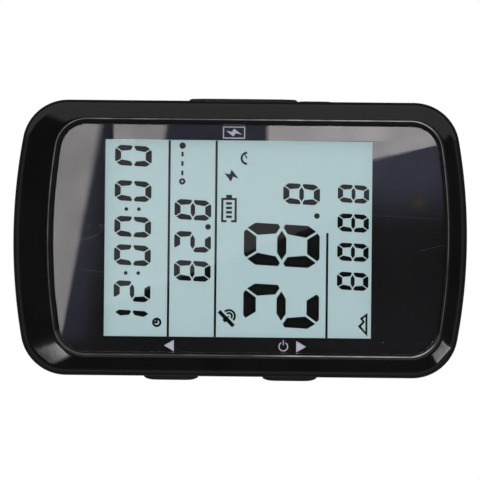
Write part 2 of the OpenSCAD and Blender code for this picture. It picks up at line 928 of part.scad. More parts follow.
// Battery symbol: a case with a tip towards +X, a notch in its other end and four bars inside
module battery_sign(w, l, line) {
    tip = w / 9;
    ring_w = w - tip;
    pitch = (ring_w - 3 * line) / 4;
    translate([-tip / 2, 0, 0]) {
        difference() {
            flat_bar(0, 0, [ring_w, l]);
            middle_block(0, 0, -overrun, [ring_w - 2 * line, l - 2 * line, segment_t + 2 * overrun]);
            middle_block(
                -ring_w / 2, 0, -overrun, [3 * line, battery_notch_share * l, segment_t + 2 * overrun]
            );
        }
        for (i = [0 : 3])
            flat_bar((i - 1.5) * pitch, 0, [battery_bar_t_share * pitch, battery_bar_share * l]);
    }
    flat_bar(w / 2 - tip / 2, 0, [tip, battery_bar_share * l]);
}

// Outline of two hills. The points are shares of its width and length
module hill_sign(w, l) {
    hill_shares = [[-0.5, -0.5], [-0.08, 0.5], [0.12, 0.02], [0.26, 0.3], [0.5, -0.5]];
    hollow_shares = [[-0.3, -0.29], [-0.08, 0.17], [0.112, -0.25], [0.24, -0.02], [0.335, -0.29]];
    difference() {
        linear_extrude(height = segment_t)
            polygon([for (s = hill_shares) [s.x * w, s.y * l]]);
        translate([0, 0, -overrun])
            linear_extrude(height = segment_t + 2 * overrun)
                polygon([for (s = hollow_shares) [s.x * w, s.y * l]]);
    }
}

module sign_ring(r, line) {
    difference() {
        cylinder(r = r, h = segment_t);
        translate([0, 0, -overrun])
            cylinder(r = r - line, h = segment_t + 2 * overrun);
    }
}

// Clock face with two hands
module clock_sign(r, line) {
    sign_ring(r, line);
    flat_bar(0, r / 4, [line, r / 2 + line]);
    flat_bar(r / 4, 0, [r / 2 + line, line]);
}

// Route: an open ring, dashes and a solid end
module route_sign(w, l, line) {
    dash = w / 9;
    translate([-w / 2 + l / 2, 0, 0])
        sign_ring(l / 2, line);
    for (i = [-1 : 1])
        flat_bar(i * 2 * dash, 0, [dash, line]);
    translate([w / 2 - l / 2, 0, 0])
        cylinder(r = l / 2, h = segment_t);
}

// Gauge: the upper half of a ring with a needle
module gauge_sign(r, line) {
    difference() {
        sign_ring(r, line);
        middle_block(0, -r, -overrun, [2 * r + overrun, 2 * r, segment_t + 2 * overrun]);
    }
    tip_y = r - 2 * line;
    linear_extrude(height = segment_t)
        polygon([[-line / 2, 0], [line / 2, 0], [r / 2 + line / 2, tip_y], [r / 2 - line / 2, tip_y]]);
}

// Satellite symbol: a long panel, the body across it and two waves, all shares of r
module satellite_sign(r) {
    wave_shares = [0.57, 1];
    rotate([0, 0, -45]) {
        flat_bar(panel_shares[0] * r, 0, [panel_shares[1] * r, panel_shares[2] * r]);
        flat_bar(body_shares[0] * r, 0, [body_shares[1] * r, body_shares[2] * r]);
        flat_bar(aerial_shares[0] * r, 0, [aerial_shares[1] * r, aerial_shares[2] * r]);
        for (s = wave_shares)
            intersection() {
                sign_ring(r * s, r * wave_line_share);
                block(0, -r, 0, [r, 2 * r, segment_t]);
            }
    }
}

module display_signs() {
    line = sign_line_share * window_w;
    color("#14201f") {
        in_window(battery_sign_shares.x, battery_sign_shares.y)
            battery_sign(battery_sign_size_shares.x * window_w, battery_sign_size_shares.y * window_l, line);
        in_window(bolt_sign_shares.x, bolt_sign_shares.y)
            bolt(bolt_sign_size_shares.x * window_w, bolt_sign_size_shares.y * window_l, segment_t);
        in_window(satellite_sign_shares.x, satellite_sign_shares.y)
            satellite_sign(satellite_sign_share * window_w);
        in_window(hill_sign_shares.x, hill_sign_shares.y)
            hill_sign(hill_sign_size_shares.x * window_w, hill_sign_size_shares.y * window_l);
        in_window(clock_sign_shares.x, clock_sign_shares.y)
            clock_sign(clock_sign_share * window_w, line);
        in_window(route_sign_shares.x, route_sign_shares.y)
            route_sign(route_sign_size_shares.x * window_w, route_sign_size_shares.y * window_l, line);
        in_window(gauge_sign_shares.x, gauge_sign_shares.y)
            gauge_sign(gauge_sign_share * window_w, line);
        for (y = rule_y_shares)
            in_window(0, y)
                flat_bar(0, 0, [window_w, rule_t]);
        in_window((short_rule_end_share - 0.5) / 2, short_rule_y_share)
            flat_bar(0, 0, [(short_rule_end_share + 0.5) * window_w, rule_t]);
    }
}

module light_guide() {
    color("#e8ecea", 0.7)
        block(-guide_w / 2, guide_end_y, guide_z, [guide_w, guide_l, guide_t]);
}

strip_y = guide_end_y - lamp_gap - strip_l;

module backlight_strip() {
    color("#c98a2e")
        block(-guide_w / 2, strip_y, guide_z, [guide_w, strip_l, strip_t]);
}

module backlight_lamps() {
    pitch = guide_w / lamp_count;
    color("#f2e9c0")
        for (i = [0 : lamp_count - 1])
            middle_block(
                (i - (lamp_count - 1) / 2) * pitch, guide_end_y - lamp_gap - lamp_l / 2, guide_z + strip_t,
                [lamp_w, lamp_l, lamp_h]
            );
}

module display_frame() {
    wall_h = front_glass_top_z - board_top_z;
    color("#e4e6e4")
        difference() {
            middle_block(0, frame_y, board_top_z, [frame_w, frame_l, wall_h]);
            middle_block(0, frame_y, guide_z, [frame_in_w, frame_in_l, wall_h]);
            middle_block(
                0, frame_y, board_top_z - overrun,
                [frame_in_w - 2 * shelf_w, frame_in_l - 2 * shelf_w, wall_h]
            );
            block(
                -ribbon_x - ribbon_notch_fit, frame_end_y - overrun, rear_glass_top_z - ribbon_t,
                [ribbon_w + 2 * ribbon_notch_fit, frame_wall + 2 * overrun, wall_h]
            );
        }
}

// The ribbon runs out over the ledge, turns down and enters the connector
module display_ribbon() {
    flat_l = front_end_y - connector_gap - ribbon_end_y - ribbon_bend_r;
    bend_y = ribbon_end_y + ribbon_bend_r;
    top_z = rear_glass_top_z + ribbon_t;
    drop = top_z - ribbon_bend_r - board_top_z - connector_h / 2;
    color("#c9822a")
        union() {
            block(-ribbon_x, bend_y, rear_glass_top_z, [ribbon_w, flat_l, ribbon_t]);
            intersection() {
                translate([-ribbon_x, bend_y, top_z - ribbon_bend_r])
                    rotate([0, 90, 0])
                        difference() {
                            cylinder(r = ribbon_bend_r, h = ribbon_w);
                            translate([0, 0, -overrun])
                                cylinder(r = ribbon_bend_r - ribbon_t, h = ribbon_w + 2 * overrun);
                        }
                block(
                    -ribbon_x, bend_y - ribbon_bend_r, top_z - ribbon_bend_r,
                    [ribbon_w, ribbon_bend_r, ribbon_bend_r]
                );
            }
            block(-ribbon_x, ribbon_end_y, top_z - ribbon_bend_r - drop, [ribbon_w, ribbon_t, drop]);
        }
}

module ribbon_connector() {
    color("#ded6c2")
        difference() {
            middle_block(
                0, ribbon_end_y + ribbon_t / 2, board_top_z,
                [ribbon_w + 2 * connector_margin, connector_l, connector_h]
            );
            middle_block(
                0, ribbon_end_y + ribbon_t / 2, board_top_z + connector_h / 2 - connector_gap,
                [ribbon_w + 2 * connector_gap, ribbon_t + 2 * connector_gap, connector_h]
            );
        }
}

module main_board() {
    color("#14532f")
        difference() {
            case_prism(board_z, board_t, board_inset);
            at_posts()
                rod(0, 0, board_z - overrun, post_r + post_clear, board_t + 2 * overrun);
            at_board_screws()
                rod(0, 0, board_z - overrun, board_shank_r + hole_fit, board_t + 2 * overrun);
        }
}

module board_screws() {
    color("#a9abad")
        at_board_screws()
            screw_up(
                board_z - board_head_h, board_head_r, board_head_h, board_shank_r,
                board_shank_l + board_t - boss_floor
            );
}

module gps_antenna() {
    color("#cfc8b8")
        difference() {
            middle_block(0, antenna_y, board_top_z, [antenna_w, antenna_w, antenna_h]);
            rod(0, antenna_y, board_top_z - overrun, pin_r + hole_fit, antenna_h + 2 * overrun);
        }
}

module antenna_electrode() {
    plate = antenna_w - 2 * electrode_inset;
    color("#b9bcc0")
        union() {
            middle_block(0, antenna_y, board_top_z + antenna_h, [plate, plate, electrode_t]);
            rod(0, antenna_y, board_top_z, pin_r, antenna_h + electrode_t);
        }
}

// Open-bottomed sheet-metal box that hangs under the board
module shield_can() {
    color("#b4b7ba")
        difference() {
            middle_block(can_x, can_y, board_z - can_h, [can_w, can_l, can_h]);
            middle_block(
                can_x, can_y, board_z - can_h + can_t,
                [can_w - 2 * can_t, can_l - 2 * can_t, can_h]
            );
        }
}

module processor_chip() {
    color("#222326")
        middle_block(chip_x, chip_y, board_z - chip_h, [chip_w, chip_w, chip_h]);
}

module memory_chip() {
    color("#26272a")
        middle_block(chip_x, memory_y, board_z - memory_h, [memory_w, memory_l, memory_h]);
}

// Two rows of small parts beside the battery's header, and the receiver under the can
module small_chips() {
    color("#7a6a52") {
        for (i = [0 : small_count - 1])
            middle_block(
                can_x + (i - (small_count - 1) / 2) * small_pitch * 2, can_y + can_l / 2 + small_w,
                board_z - small_h, [small_w, small_l, small_h]
            );
        middle_block(can_x, can_y, board_z - chip_h, [chip_w, chip_w, chip_h]);
    }
}

module radio_antenna() {
    color("#e6e3da")
        middle_block(0, radio_y, board_z - radio_h, [radio_w, radio_l, radio_h]);
}

module pressure_sensor() {
    color("#9a9c9f")
        difference() {
            middle_block(baro_x, baro_y, board_z - baro_h, [baro_w, baro_w, baro_h]);
            rod(baro_x, baro_y, board_z - baro_h - overrun, vent_hole_r, baro_h / 2 + overrun);
        }
}

module vent_membrane() {
    color("#e9e9e6")
        rod(baro_x, baro_y, floor_z, membrane_r, membrane_t);
}

module buzzer() {
    color("#19191b")
        difference() {
            rod(buzzer_x, buzzer_y, board_z - buzzer_h, buzzer_r, buzzer_h);
            rod(buzzer_x, buzzer_y, board_z - buzzer_h - overrun, buzzer_hole_r, buzzer_h / 2 + overrun);
        }
}

// Sheet-metal shell of the charging socket, open towards the side of the case
module charging_socket() {
    r = socket_h / 2 - socket_t;
    color("#a7aaae")
        difference() {
            side_plate(
                wall_in_x - socket_gap - socket_l, port_y, socket_z, socket_l, socket_w, socket_h, r
            );
            side_plate(
                wall_in_x - socket_gap - socket_l + tongue_back, port_y, socket_z, socket_l,
                socket_w - 2 * socket_t, socket_h - 2 * socket_t, r - socket_t
            );
        }
}

module socket_tongue() {
    color("#1a1a1c")
        block(
            wall_in_x - socket_gap - socket_l + tongue_back, port_y - tongue_w / 2, socket_z - tongue_t / 2,
            [socket_l - 2 * tongue_back, tongue_w, tongue_t]
        );
}

module side_switch(y) {
    color("#202124")
        difference() {
            block(-switch_x, y - switch_l / 2, board_z - switch_h, [switch_d, switch_l, switch_h]);
            translate([-switch_x - overrun, y, key_z])
                rotate([0, 90, 0])
                    cylinder(r = plunger_r + plunger_fit, h = overrun + plunger_in + key_travel + key_fit);
        }
}

module page_switch() {
    side_switch(page_key_y);
}

module power_switch() {
    side_switch(power_key_y);
}

module plunger(y) {
    color("#d9d9d4")
        translate([-plunger_x, y, key_z])
            rotate([0, 90, 0])
                cylinder(r = plunger_r, h = plunger_x - switch_x + plunger_in);
}

module page_plunger() {
    plunger(page_key_y);
}

module power_plunger() {
    plunger(power_key_y);
}

// Key with a crowned face outside the wall and a flange inside it
module side_key(y) {
    out_x = half_w + key_proud;
    dome_x = out_x - key_dome;
    color("#161618")
        union() {
            side_plate(-dome_x, y, key_z, dome_x - flange_x, key_l, key_h, key_h / 2);
            hull() {
                side_plate(-dome_x, y, key_z, sliver, key_l, key_h, key_h / 2);
                side_plate(
                    -out_x, y, key_z, sliver,
                    key_l - 2 * key_crown, key_h - key_crown, key_h / 2 - key_crown / 2
                );
            }
            side_plate(
                -flange_x, y, key_z, flange_t,
                key_l + 2 * flange_rim, key_h + 2 * flange_rim, key_h / 2 + flange_rim
            );
        }
}

module page_key() {
    side_key(page_key_y);
}

module power_key() {
    side_key(power_key_y);
}

module key_seal(y) {
    color("#4a4b4e")
        difference() {
            side_plate(
                -wall_in_x, y, key_z, seal_t,
                key_l + 2 * flange_rim, key_h + 2 * flange_rim, key_h / 2 + flange_rim
            );
            side_plate(
                -wall_in_x - overrun, y, key_z, seal_t + 2 * overrun,
                key_l + 2 * key_fit, key_h + 2 * key_fit, key_h / 2 + key_fit
            );
        }
}

module page_key_seal() {
    key_seal(page_key_y);
}

module power_key_seal() {
    key_seal(power_key_y);
}

// Rubber cover: a plate in the case's side with a crowned face and a plug behind it
module port_cover() {
    seat_x = half_w - cover_seat;
    edge_x = half_w + cover_proud - cover_dome;
    color("#1d1d1f")
        union() {
            side_plate(seat_x, port_y, socket_z, edge_x - seat_x, cover_l, cover_h, cover_corner_r);
            hull() {
                side_plate(edge_x - sliver, port_y, socket_z, sliver, cover_l, cover_h, cover_corner_r);
                side_plate(
                    half_w + cover_proud - sliver, port_y, socket_z, sliver,
                    cover_l - 2 * cover_dome, cover_h - 2 * cover_dome, cover_corner_r - cover_dome
                );
            }
            side_plate(
                seat_x - plug_l, port_y, socket_z, plug_l + port_wall / 2,
                opening_w - 2 * plug_fit, opening_h - 2 * plug_fit, opening_h / 2 - socket_t - plug_fit
            );
        }
}

// Root of the rubber strap, held by a peg through the wall
module port_anchor() {
    strap_end_y = hinge_y - hinge_gap / 2;
    root_y = hinge_y - strap_l;
    color("#1d1d1f")
        union() {
            side_plate(
                half_w - strap_d, (strap_end_y + root_y) / 2, socket_z, strap_d + strap_proud,
                strap_end_y - root_y, strap_h, strap_h / 2 - sliver
            );
            translate([wall_in_x, peg_y, socket_z])
                rotate([0, 90, 0])
                    cylinder(r = peg_r, h = wall_t);
            translate([wall_in_x - peg_head_l, peg_y, socket_z])
                rotate([0, 90, 0])
                    cylinder(r = peg_head_r, h = peg_head_l);
        }
}

module battery_cell() {
    color("#a9adb2")
        translate([battery_x, battery_y + battery_l / 2, floor_z + pad_t + battery_t / 2])
            rotate([90, 0, 0])
                linear_extrude(height = battery_l)
                    rounded_rect(battery_w, battery_t, battery_r);
}

module battery_pad() {
    color("#dedcd6")
        middle_block(
            battery_x, battery_y, floor_z,
            [battery_w - 2 * pad_inset, battery_l - 2 * pad_inset, pad_t]
        );
}

// Two leads that leave the cell's end, bend and run into the plug
module battery_leads() {
    start_y = battery_y + battery_l / 2;
    for (i = [0, 1])
        color(i == 0 ? "#b02a25" : "#1a1a1a")
            translate([lead_x - i * lead_space, start_y, lead_z]) {
                run = lead_run + i * lead_space;
                rotate([-90, 0, 0])
                    cylinder(r = lead_r, h = run);
                translate([lead_bend_r, run, 0])
                    rotate([0, 0, 90])
                        rotate_extrude(angle = 90)
                            translate([lead_bend_r, 0])
                                circle(lead_r);
                translate([lead_bend_r, run + lead_bend_r, 0])
                    rotate([0, 90, 0])
                        cylinder(r = lead_r, h = lead_out + i * lead_space);
            }
}

battery_plug_x = lead_x + lead_bend_r + lead_out;
battery_plug_y = battery_y + battery_l / 2 + lead_run + lead_bend_r + lead_space / 2;

module battery_plug() {
    color("#eeeeea")
        block(
            battery_plug_x, battery_plug_y - plug_len / 2, lead_z - plug_h / 2,
            [plug_w, plug_len, plug_h]
        );
}

module battery_header() {
    base_z = lead_z + plug_h / 2;
    color("#e3e1d8")
        block(
            battery_plug_x, battery_plug_y - plug_len / 2, base_z,
            [plug_w + plug_base, plug_len, board_z - base_z]
        );
}

module twist_mount() {
    boss_r = boss_d / 2;
    color("#1f2022")
        difference() {
            union() {
                rod(0, 0, mount_lead, boss_r, mount_h - mount_lead);
                cylinder(r1 = boss_r - mount_lead, r2 = boss_r, h = mount_lead);
                intersection() {
                    rod(0, 0, 0, tab_span / 2, tab_t);
                    middle_block(0, 0, 0, [tab_span + overrun, tab_w, tab_t]);
                }
            }
            for (sx = [-1, 1])
                rod(sx * (tab_span + mount_notch_r) / 2, 0, -overrun, mount_notch_r, tab_t + 2 * overrun);
            rotate_extrude()
                translate([ring_r - ring_groove_w / 2, mount_h - ring_groove_d])
                    square([ring_groove_w, ring_groove_d + overrun]);
            at_mount_screws()
                rod(0, 0, mount_skin, mount_shank_r + thread_fit, mount_h - mount_skin + overrun);
        }
}

module mount_seal() {
    color("#3a3b3d")
        translate([0, 0, mount_h - ring_section_r])
            rotate_extrude()
                translate([ring_r, 0])
                    circle(ring_section_r);
}

// The mount's screws point down from inside the case, with flush heads
module mount_screws() {
    shank_l = floor_z - mount_head_h - mount_skin - boss_floor;
    color("#8f9195")
        at_mount_screws()
            translate([0, 0, floor_z])
                mirror([0, 0, 1])
                    screw_up(0, mount_head_r, mount_head_h, mount_shank_r, shank_l);
}

top_cover();
rear_cover();
case_seal();
case_screws();
lens();
lens_print();
lens_marks();
lens_adhesive();
display_gasket();
front_glass();
display_digits();
display_signs();
cell_seal();
rear_glass();
reflector();
light_guide();
backlight_strip();
backlight_lamps();
display_frame();
display_ribbon();
ribbon_connector();
main_board();
board_screws();
gps_antenna();
antenna_electrode();
shield_can();
processor_chip();
memory_chip();
small_chips();
radio_antenna();
pressure_sensor();
vent_membrane();
buzzer();
charging_socket();
socket_tongue();
page_switch();
power_switch();
page_plunger();
power_plunger();
page_key();
power_key();
page_key_seal();
power_key_seal();
port_cover();
port_anchor();
battery_cell();
battery_pad();
battery_leads();
battery_plug();
battery_header();
twist_mount();
mount_seal();
mount_screws();
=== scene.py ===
# %% [markdown]
# # A bicycle computer, dressed for a picture
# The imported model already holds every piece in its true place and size. This lesson gives
# the pieces their looks: smooth shells, a glass lens over a grey display, rubber keys and a
# rubber port cover. Everything is in metres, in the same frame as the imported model, with the
# back of the mount at height zero and the top of the display towards +Y.

import json
import math

import bpy
import numpy as np
from mathutils import Matrix, Vector
from mathutils.interpolate import poly_3d_calc


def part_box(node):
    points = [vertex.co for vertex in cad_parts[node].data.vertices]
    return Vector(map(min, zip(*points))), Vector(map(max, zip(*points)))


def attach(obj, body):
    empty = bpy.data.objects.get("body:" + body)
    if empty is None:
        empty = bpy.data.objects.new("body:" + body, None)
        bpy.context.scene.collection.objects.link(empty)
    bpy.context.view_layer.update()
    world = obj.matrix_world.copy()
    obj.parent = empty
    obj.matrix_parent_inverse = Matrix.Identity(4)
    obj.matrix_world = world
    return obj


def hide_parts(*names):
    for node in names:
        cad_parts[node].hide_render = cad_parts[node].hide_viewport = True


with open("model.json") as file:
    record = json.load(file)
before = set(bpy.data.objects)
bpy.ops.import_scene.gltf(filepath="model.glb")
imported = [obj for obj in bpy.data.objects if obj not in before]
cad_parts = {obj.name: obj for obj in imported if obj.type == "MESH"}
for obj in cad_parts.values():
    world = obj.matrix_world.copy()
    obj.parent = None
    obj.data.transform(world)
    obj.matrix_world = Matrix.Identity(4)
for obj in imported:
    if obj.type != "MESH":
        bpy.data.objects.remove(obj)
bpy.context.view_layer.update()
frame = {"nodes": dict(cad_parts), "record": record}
nodes = frame["nodes"]

# %% [markdown]
# ## Sizes in millimetres
# A case like this is drawn in millimetres, so the sizes are written that way here and turned
# into metres only when a mesh is made. Heights count from the resting face of the mount. Each
# value is the one the solid model uses, so that a new surface lands exactly on its solid.

# %% Sizes of the case, the lens and the display
MM = 0.001
CASE_W, CASE_L = 51.0, 84.0
CASE_CORNER, CASE_BOW = 8.5, 105.0
BACK_Z, FLOOR_Z, SEAM_Z, FACE_Z = 3.6, 5.2, 12.4, 19.2
WALL, SEAM_BEVEL = 2.0, 0.22
BACK_EDGE, TOP_EDGE, TOP_TURN, FACE_DROP = 4.0, 1.8, 78.0, 0.45
LENS_W, LENS_L, LENS_SHIFT = 42.2, 72.5, -1.6
LENS_CORNER, LENS_BOW = 5.0, 110.0
LENS_TOP, LENS_LOW, ADHESIVE_Z, DECK_Z = 18.4, 17.2, 17.0, 15.8
LENS_GAP, LENS_BEVEL, RIM = 0.1, 0.8, 0.25
WINDOW_W, WINDOW_L, WINDOW_Y, WINDOW_MARGIN = 36.4, 49.4, 0.35, 0.7
POST_X, POST_Y, POST_R, POST_BORE = 19.1, 33.2, 2.6, 1.0
KEY_Z, KEY_YS = 9.0, {"page_key": 12.7, "power_key": -9.4}
PORT_Z, PORT_Y, STRAP_Y, PEG_Y = 9.02, -0.3, -13.65, -15.2

# %% [markdown]
# ## The camera
# The photograph looks almost straight down, with the display's top to the left. A long lens
# from most of a metre away keeps the outline nearly parallel. The camera leans a little towards
# the key side, and is rolled by half a degree, as the real one was held.

# %% Make the camera
TARGET = Vector((-0.21, 0.01, 17.0)) * MM
CAMERA_DISTANCE, CLIP_START = 0.8, 0.01
LEAN_X, LEAN_Y, ROLL = math.radians(-0.8), math.radians(-0.5), math.radians(0.57)
SENSOR, IMAGE = 36.0, 480
FIELD = 88.86 * MM


def add_object(name, data):
    """New object with the given data, linked to the scene."""
    made = bpy.data.objects.new(name, data)
    bpy.context.scene.collection.objects.link(made)
    return made


camera_data = bpy.data.cameras.new("camera")
camera_data.sensor_width = SENSOR
camera_data.lens = SENSOR * CAMERA_DISTANCE / FIELD
camera_data.clip_start = CLIP_START
camera_data.dof.use_dof = False
camera = add_object("camera", camera_data)
bpy.context.scene.camera = camera
away = Vector((math.tan(LEAN_X), math.tan(LEAN_Y), 1.0)).normalized()
right = Vector((0.0, -1.0, 0.0))
right = (right - away * right.dot(away)).normalized()
up = away.cross(right)
right, up = (
    right * math.cos(ROLL) + up * math.sin(ROLL),
    up * math.cos(ROLL) - right * math.sin(ROLL),
)
camera.matrix_world = Matrix.Translation(TARGET + away * CAMERA_DISTANCE) @ Matrix((
    (right.x, up.x, away.x, 0.0),
    (right.y, up.y, away.y, 0.0),
    (right.z, up.z, away.z, 0.0),
    (0.0, 0.0, 0.0, 1.0),
))
print("camera lens in mm:", round(camera_data.lens, 1))


def sight_line(px, py):
    """Ray from the camera through a point of the square image, as its start and its direction."""
    across = (px - IMAGE / 2) / IMAGE * FIELD
    upward = (IMAGE / 2 - py) / IMAGE * FIELD
    way = right * across + up * upward - away * CAMERA_DISTANCE
    return camera.matrix_world.translation.copy(), way.normalized()


# %% [markdown]
# ## Outlines and lofts
# Nearly every surface here is a set of closed rings, each at its own height, with quads
# between them. When all rings have the same number of points in the same order, the faces are
# one index grid, and a wall, an edge radius and a pocket are all the same kind of step. The
# case and the lens share one outline: straight long sides, ends on a wide arc, round corners.

# %% Outline, loft and mesh helpers
SIDE_N, CORNER_N, END_N = 40, 20, 24


def bowed_outline(w, l, bow, r, shift=0.0):
    """Closed ring of points in X and Y, counter-clockwise from the low end of the right side.

    The corner's centre lies at w/2 - r. The end is an arc of radius bow about a point on the
    middle line, and each corner arc meets it where the line through both centres turns by
    asin((w/2 - r) / (bow - r)). The second half is the first one turned by half a turn.
    """
    side_x = w / 2 - r
    turn = np.arcsin(side_x / (bow - r))
    bow_y = l / 2 - bow
    side_y = bow_y + (bow - r) * np.cos(turn)
    y = np.linspace(-side_y, side_y, SIDE_N + 1)[1:-1]
    side = np.stack([np.full_like(y, w / 2), y], axis=1)
    a = np.linspace(0.0, np.pi / 2 - turn, CORNER_N + 1)
    corner = np.stack([side_x + r * np.cos(a), side_y + r * np.sin(a)], axis=1)
    a = np.linspace(turn, -turn, END_N + 1)[1:-1]
    end = np.stack([bow * np.sin(a), bow_y + bow * np.cos(a)], axis=1)
    far_corner = corner[::-1] * [-1.0, 1.0]
    half = np.concatenate([side, corner, end, far_corner])
    return np.concatenate([half, -half]) + [0.0, shift]


def case_ring(inset):
    """Case outline, moved inward by inset."""
    return bowed_outline(
        CASE_W - 2 * inset, CASE_L - 2 * inset, CASE_BOW - inset, CASE_CORNER - inset)


def lens_ring(grow):
    """Lens outline, moved outward by grow."""
    return bowed_outline(
        LENS_W + 2 * grow, LENS_L + 2 * grow, LENS_BOW + grow, LENS_CORNER + grow, LENS_SHIFT)


def at_height(ring, z):
    """Ring in X and Y lifted to height z."""
    return np.column_stack([ring, np.full(len(ring), z)])


def rings_along(outline, steps):
    """Rings of an outline, one for each pair of its inset, or growth, and its height."""
    return [at_height(outline(offset), z) for offset, z in steps]


def loft_faces(rings, n, closed):
    """Quads between neighbouring rings of n points. A closed loft joins the last to the first."""
    low = np.arange(rings if closed else rings - 1)[:, None]
    high = (low + 1) % rings
    i = np.arange(n)[None, :]
    j = (i + 1) % n
    quads = np.stack([low * n + i, low * n + j, high * n + j, high * n + i], axis=-1)
    return quads.reshape(-1, 4).tolist()


def loft(rings, closed=False):
    """Points and faces of a loft through rings. An open one is capped at both ends."""
    points = np.concatenate(rings)
    n = len(rings[0])
    faces = loft_faces(len(rings), n, closed)
    if not closed:
        last = (len(rings) - 1) * n
        faces.append(list(range(n - 1, -1, -1)))
        faces.append(list(range(last, last + n)))
    return points, faces


def joined(*parts):
    """Several point and face pairs as one pair, kept as separate closed forms of one mesh."""
    points, faces, first = [], [], 0
    for some_points, some_faces in parts:
        points.append(some_points)
        faces += [[first + i for i in face] for face in some_faces]
        first += len(some_points)
    return np.concatenate(points), faces


def make_piece(name, form, sharp=40.0, edge=None):
    """Mesh object from a pair of points in millimetres and faces. Edges over sharp degrees stay
    crisp. Edge is one number per point, kept as an attribute that a finish reads as the
    strength of a painted highlight."""
    points, faces = form
    mesh = bpy.data.meshes.new(name)
    mesh.from_pydata((np.asarray(points) * MM).tolist(), [], faces)
    mesh.validate()
    if edge is not None:
        values = np.zeros(len(points), dtype=np.float32)
        values[:len(edge)] = edge
        mesh.attributes.new("edge", "FLOAT", "POINT").data.foreach_set("value", values)
    mesh.shade_smooth()
    mesh.set_sharp_from_angle(angle=math.radians(sharp))
    return add_object(name, mesh)


def tube(x, y, z0, z1, r, inner=None, n=48):
    """Upright closed rod, or a tube where inner is given, from z0 to z1 about the point x, y."""
    a = np.linspace(0.0, 2 * np.pi, n, endpoint=False)
    circle = np.stack([np.cos(a), np.sin(a)], axis=1)
    walls = [(r, z0), (r, z1)]
    if inner is not None:
        walls += [(inner, z1), (inner, z0)]
    rings = [at_height(circle * radius + [x, y], z) for radius, z in walls]
    return loft(rings, closed=inner is not None)


print("points in each outline:", len(case_ring(0.0)))

# %% [markdown]
# ## Top shell
# The upper half of the case is one moulding: a side, a small rounded edge, a face that slopes
# gently up to the rim, a bevel down to the lens, a pocket, a ledge and a window. Cut across,
# that is a single closed profile, so the whole shell is that profile carried round the
# outline, with no end to cap. Small fillets at the rim catch the light as the real ones do, and
# the bright line along the rim is a highlight painted into the shell's colour.

# %% Painted highlight along the rim
LOW_SINK, HIGHLIGHT_W = np.array([0.4, 0.22]), 0.07
HIGHLIGHT_INSET, HIGHLIGHT_CORE = 0.02, 1.6
SIDE_LEAN, SIDE_START = 0.3, 1.7
HIGH_SIDE_HIGHLIGHT, LOW_SIDE_HIGHLIGHT, FULL_HIGHLIGHT_Y = 0.42, 0.16, (2.0, 10.0)
END_HIGHLIGHT, END_HIGHLIGHT_X = (0.13, 0.3), (-6.0, 12.0)


def rim_highlight_strength(grows, edge):
    """Strength of the painted highlight on the bevel's rings, one row for each. The highlight
    lies on the rim towards +X and +Y. Towards -X and -Y it lies further down the bevel, by the
    shares of the outline's outward direction. It is strongest on the lower half of the two long
    sides, and faint along both ends, where it grows from the first end strength to the second
    over the given span of X."""
    ring = lens_ring(edge)
    along = np.roll(ring, -1, axis=0) - np.roll(ring, 1, axis=0)
    along /= np.linalg.norm(along, axis=1, keepdims=True)
    outward = np.stack([along[:, 1], -along[:, 0]], axis=1)
    line = edge - HIGHLIGHT_INSET - np.clip(-outward, 0.0, 1.0) @ LOW_SINK
    near = np.clip(HIGHLIGHT_CORE - np.abs(grows[:, None] - line[None, :]) / HIGHLIGHT_W, 0.0, 1.0)
    long_side = np.clip(np.abs(outward[:, 0]) / SIDE_LEAN - SIDE_START, 0.0, 1.0)
    upper = np.where(outward[:, 0] > 0.0, HIGH_SIDE_HIGHLIGHT, LOW_SIDE_HIGHLIGHT)
    strength = upper + (1.0 - upper) * np.interp(-ring[:, 1], FULL_HIGHLIGHT_Y, (0.0, 1.0))
    at_end = np.interp(ring[:, 0], END_HIGHLIGHT_X, END_HIGHLIGHT)
    return near * (long_side * strength + (1.0 - long_side) * at_end)[None, :]


# %% Top shell
FILLET, BEVEL_HIGH, BEVEL_LOW, BEVEL_STEP = 0.15, 0.12, 0.74, 0.06
SOFT_IN, SOFT_UP = 0.05, 0.06
SLOPE_SHARES = (0.06, 0.3, 0.6, 0.88, 1.0)
WINDOW_BOW, WINDOW_CORNER = 4000.0, 0.3
LIP_STEP, LIP_OUT, LIP_IN, LIP_H = 1.0, 2.1, 2.9, 1.1
POST_GAP, POST_SINK = 0.1, 0.3


def arc_steps(centre_z, radius, stop, n):
    """Inset and height pairs along an arc that starts facing outward, with no inset, and turns
    upward by stop degrees."""
    a = np.radians(np.linspace(0.0, stop, n))
    return [(radius - radius * np.cos(t), centre_z + radius * np.sin(t)) for t in a]


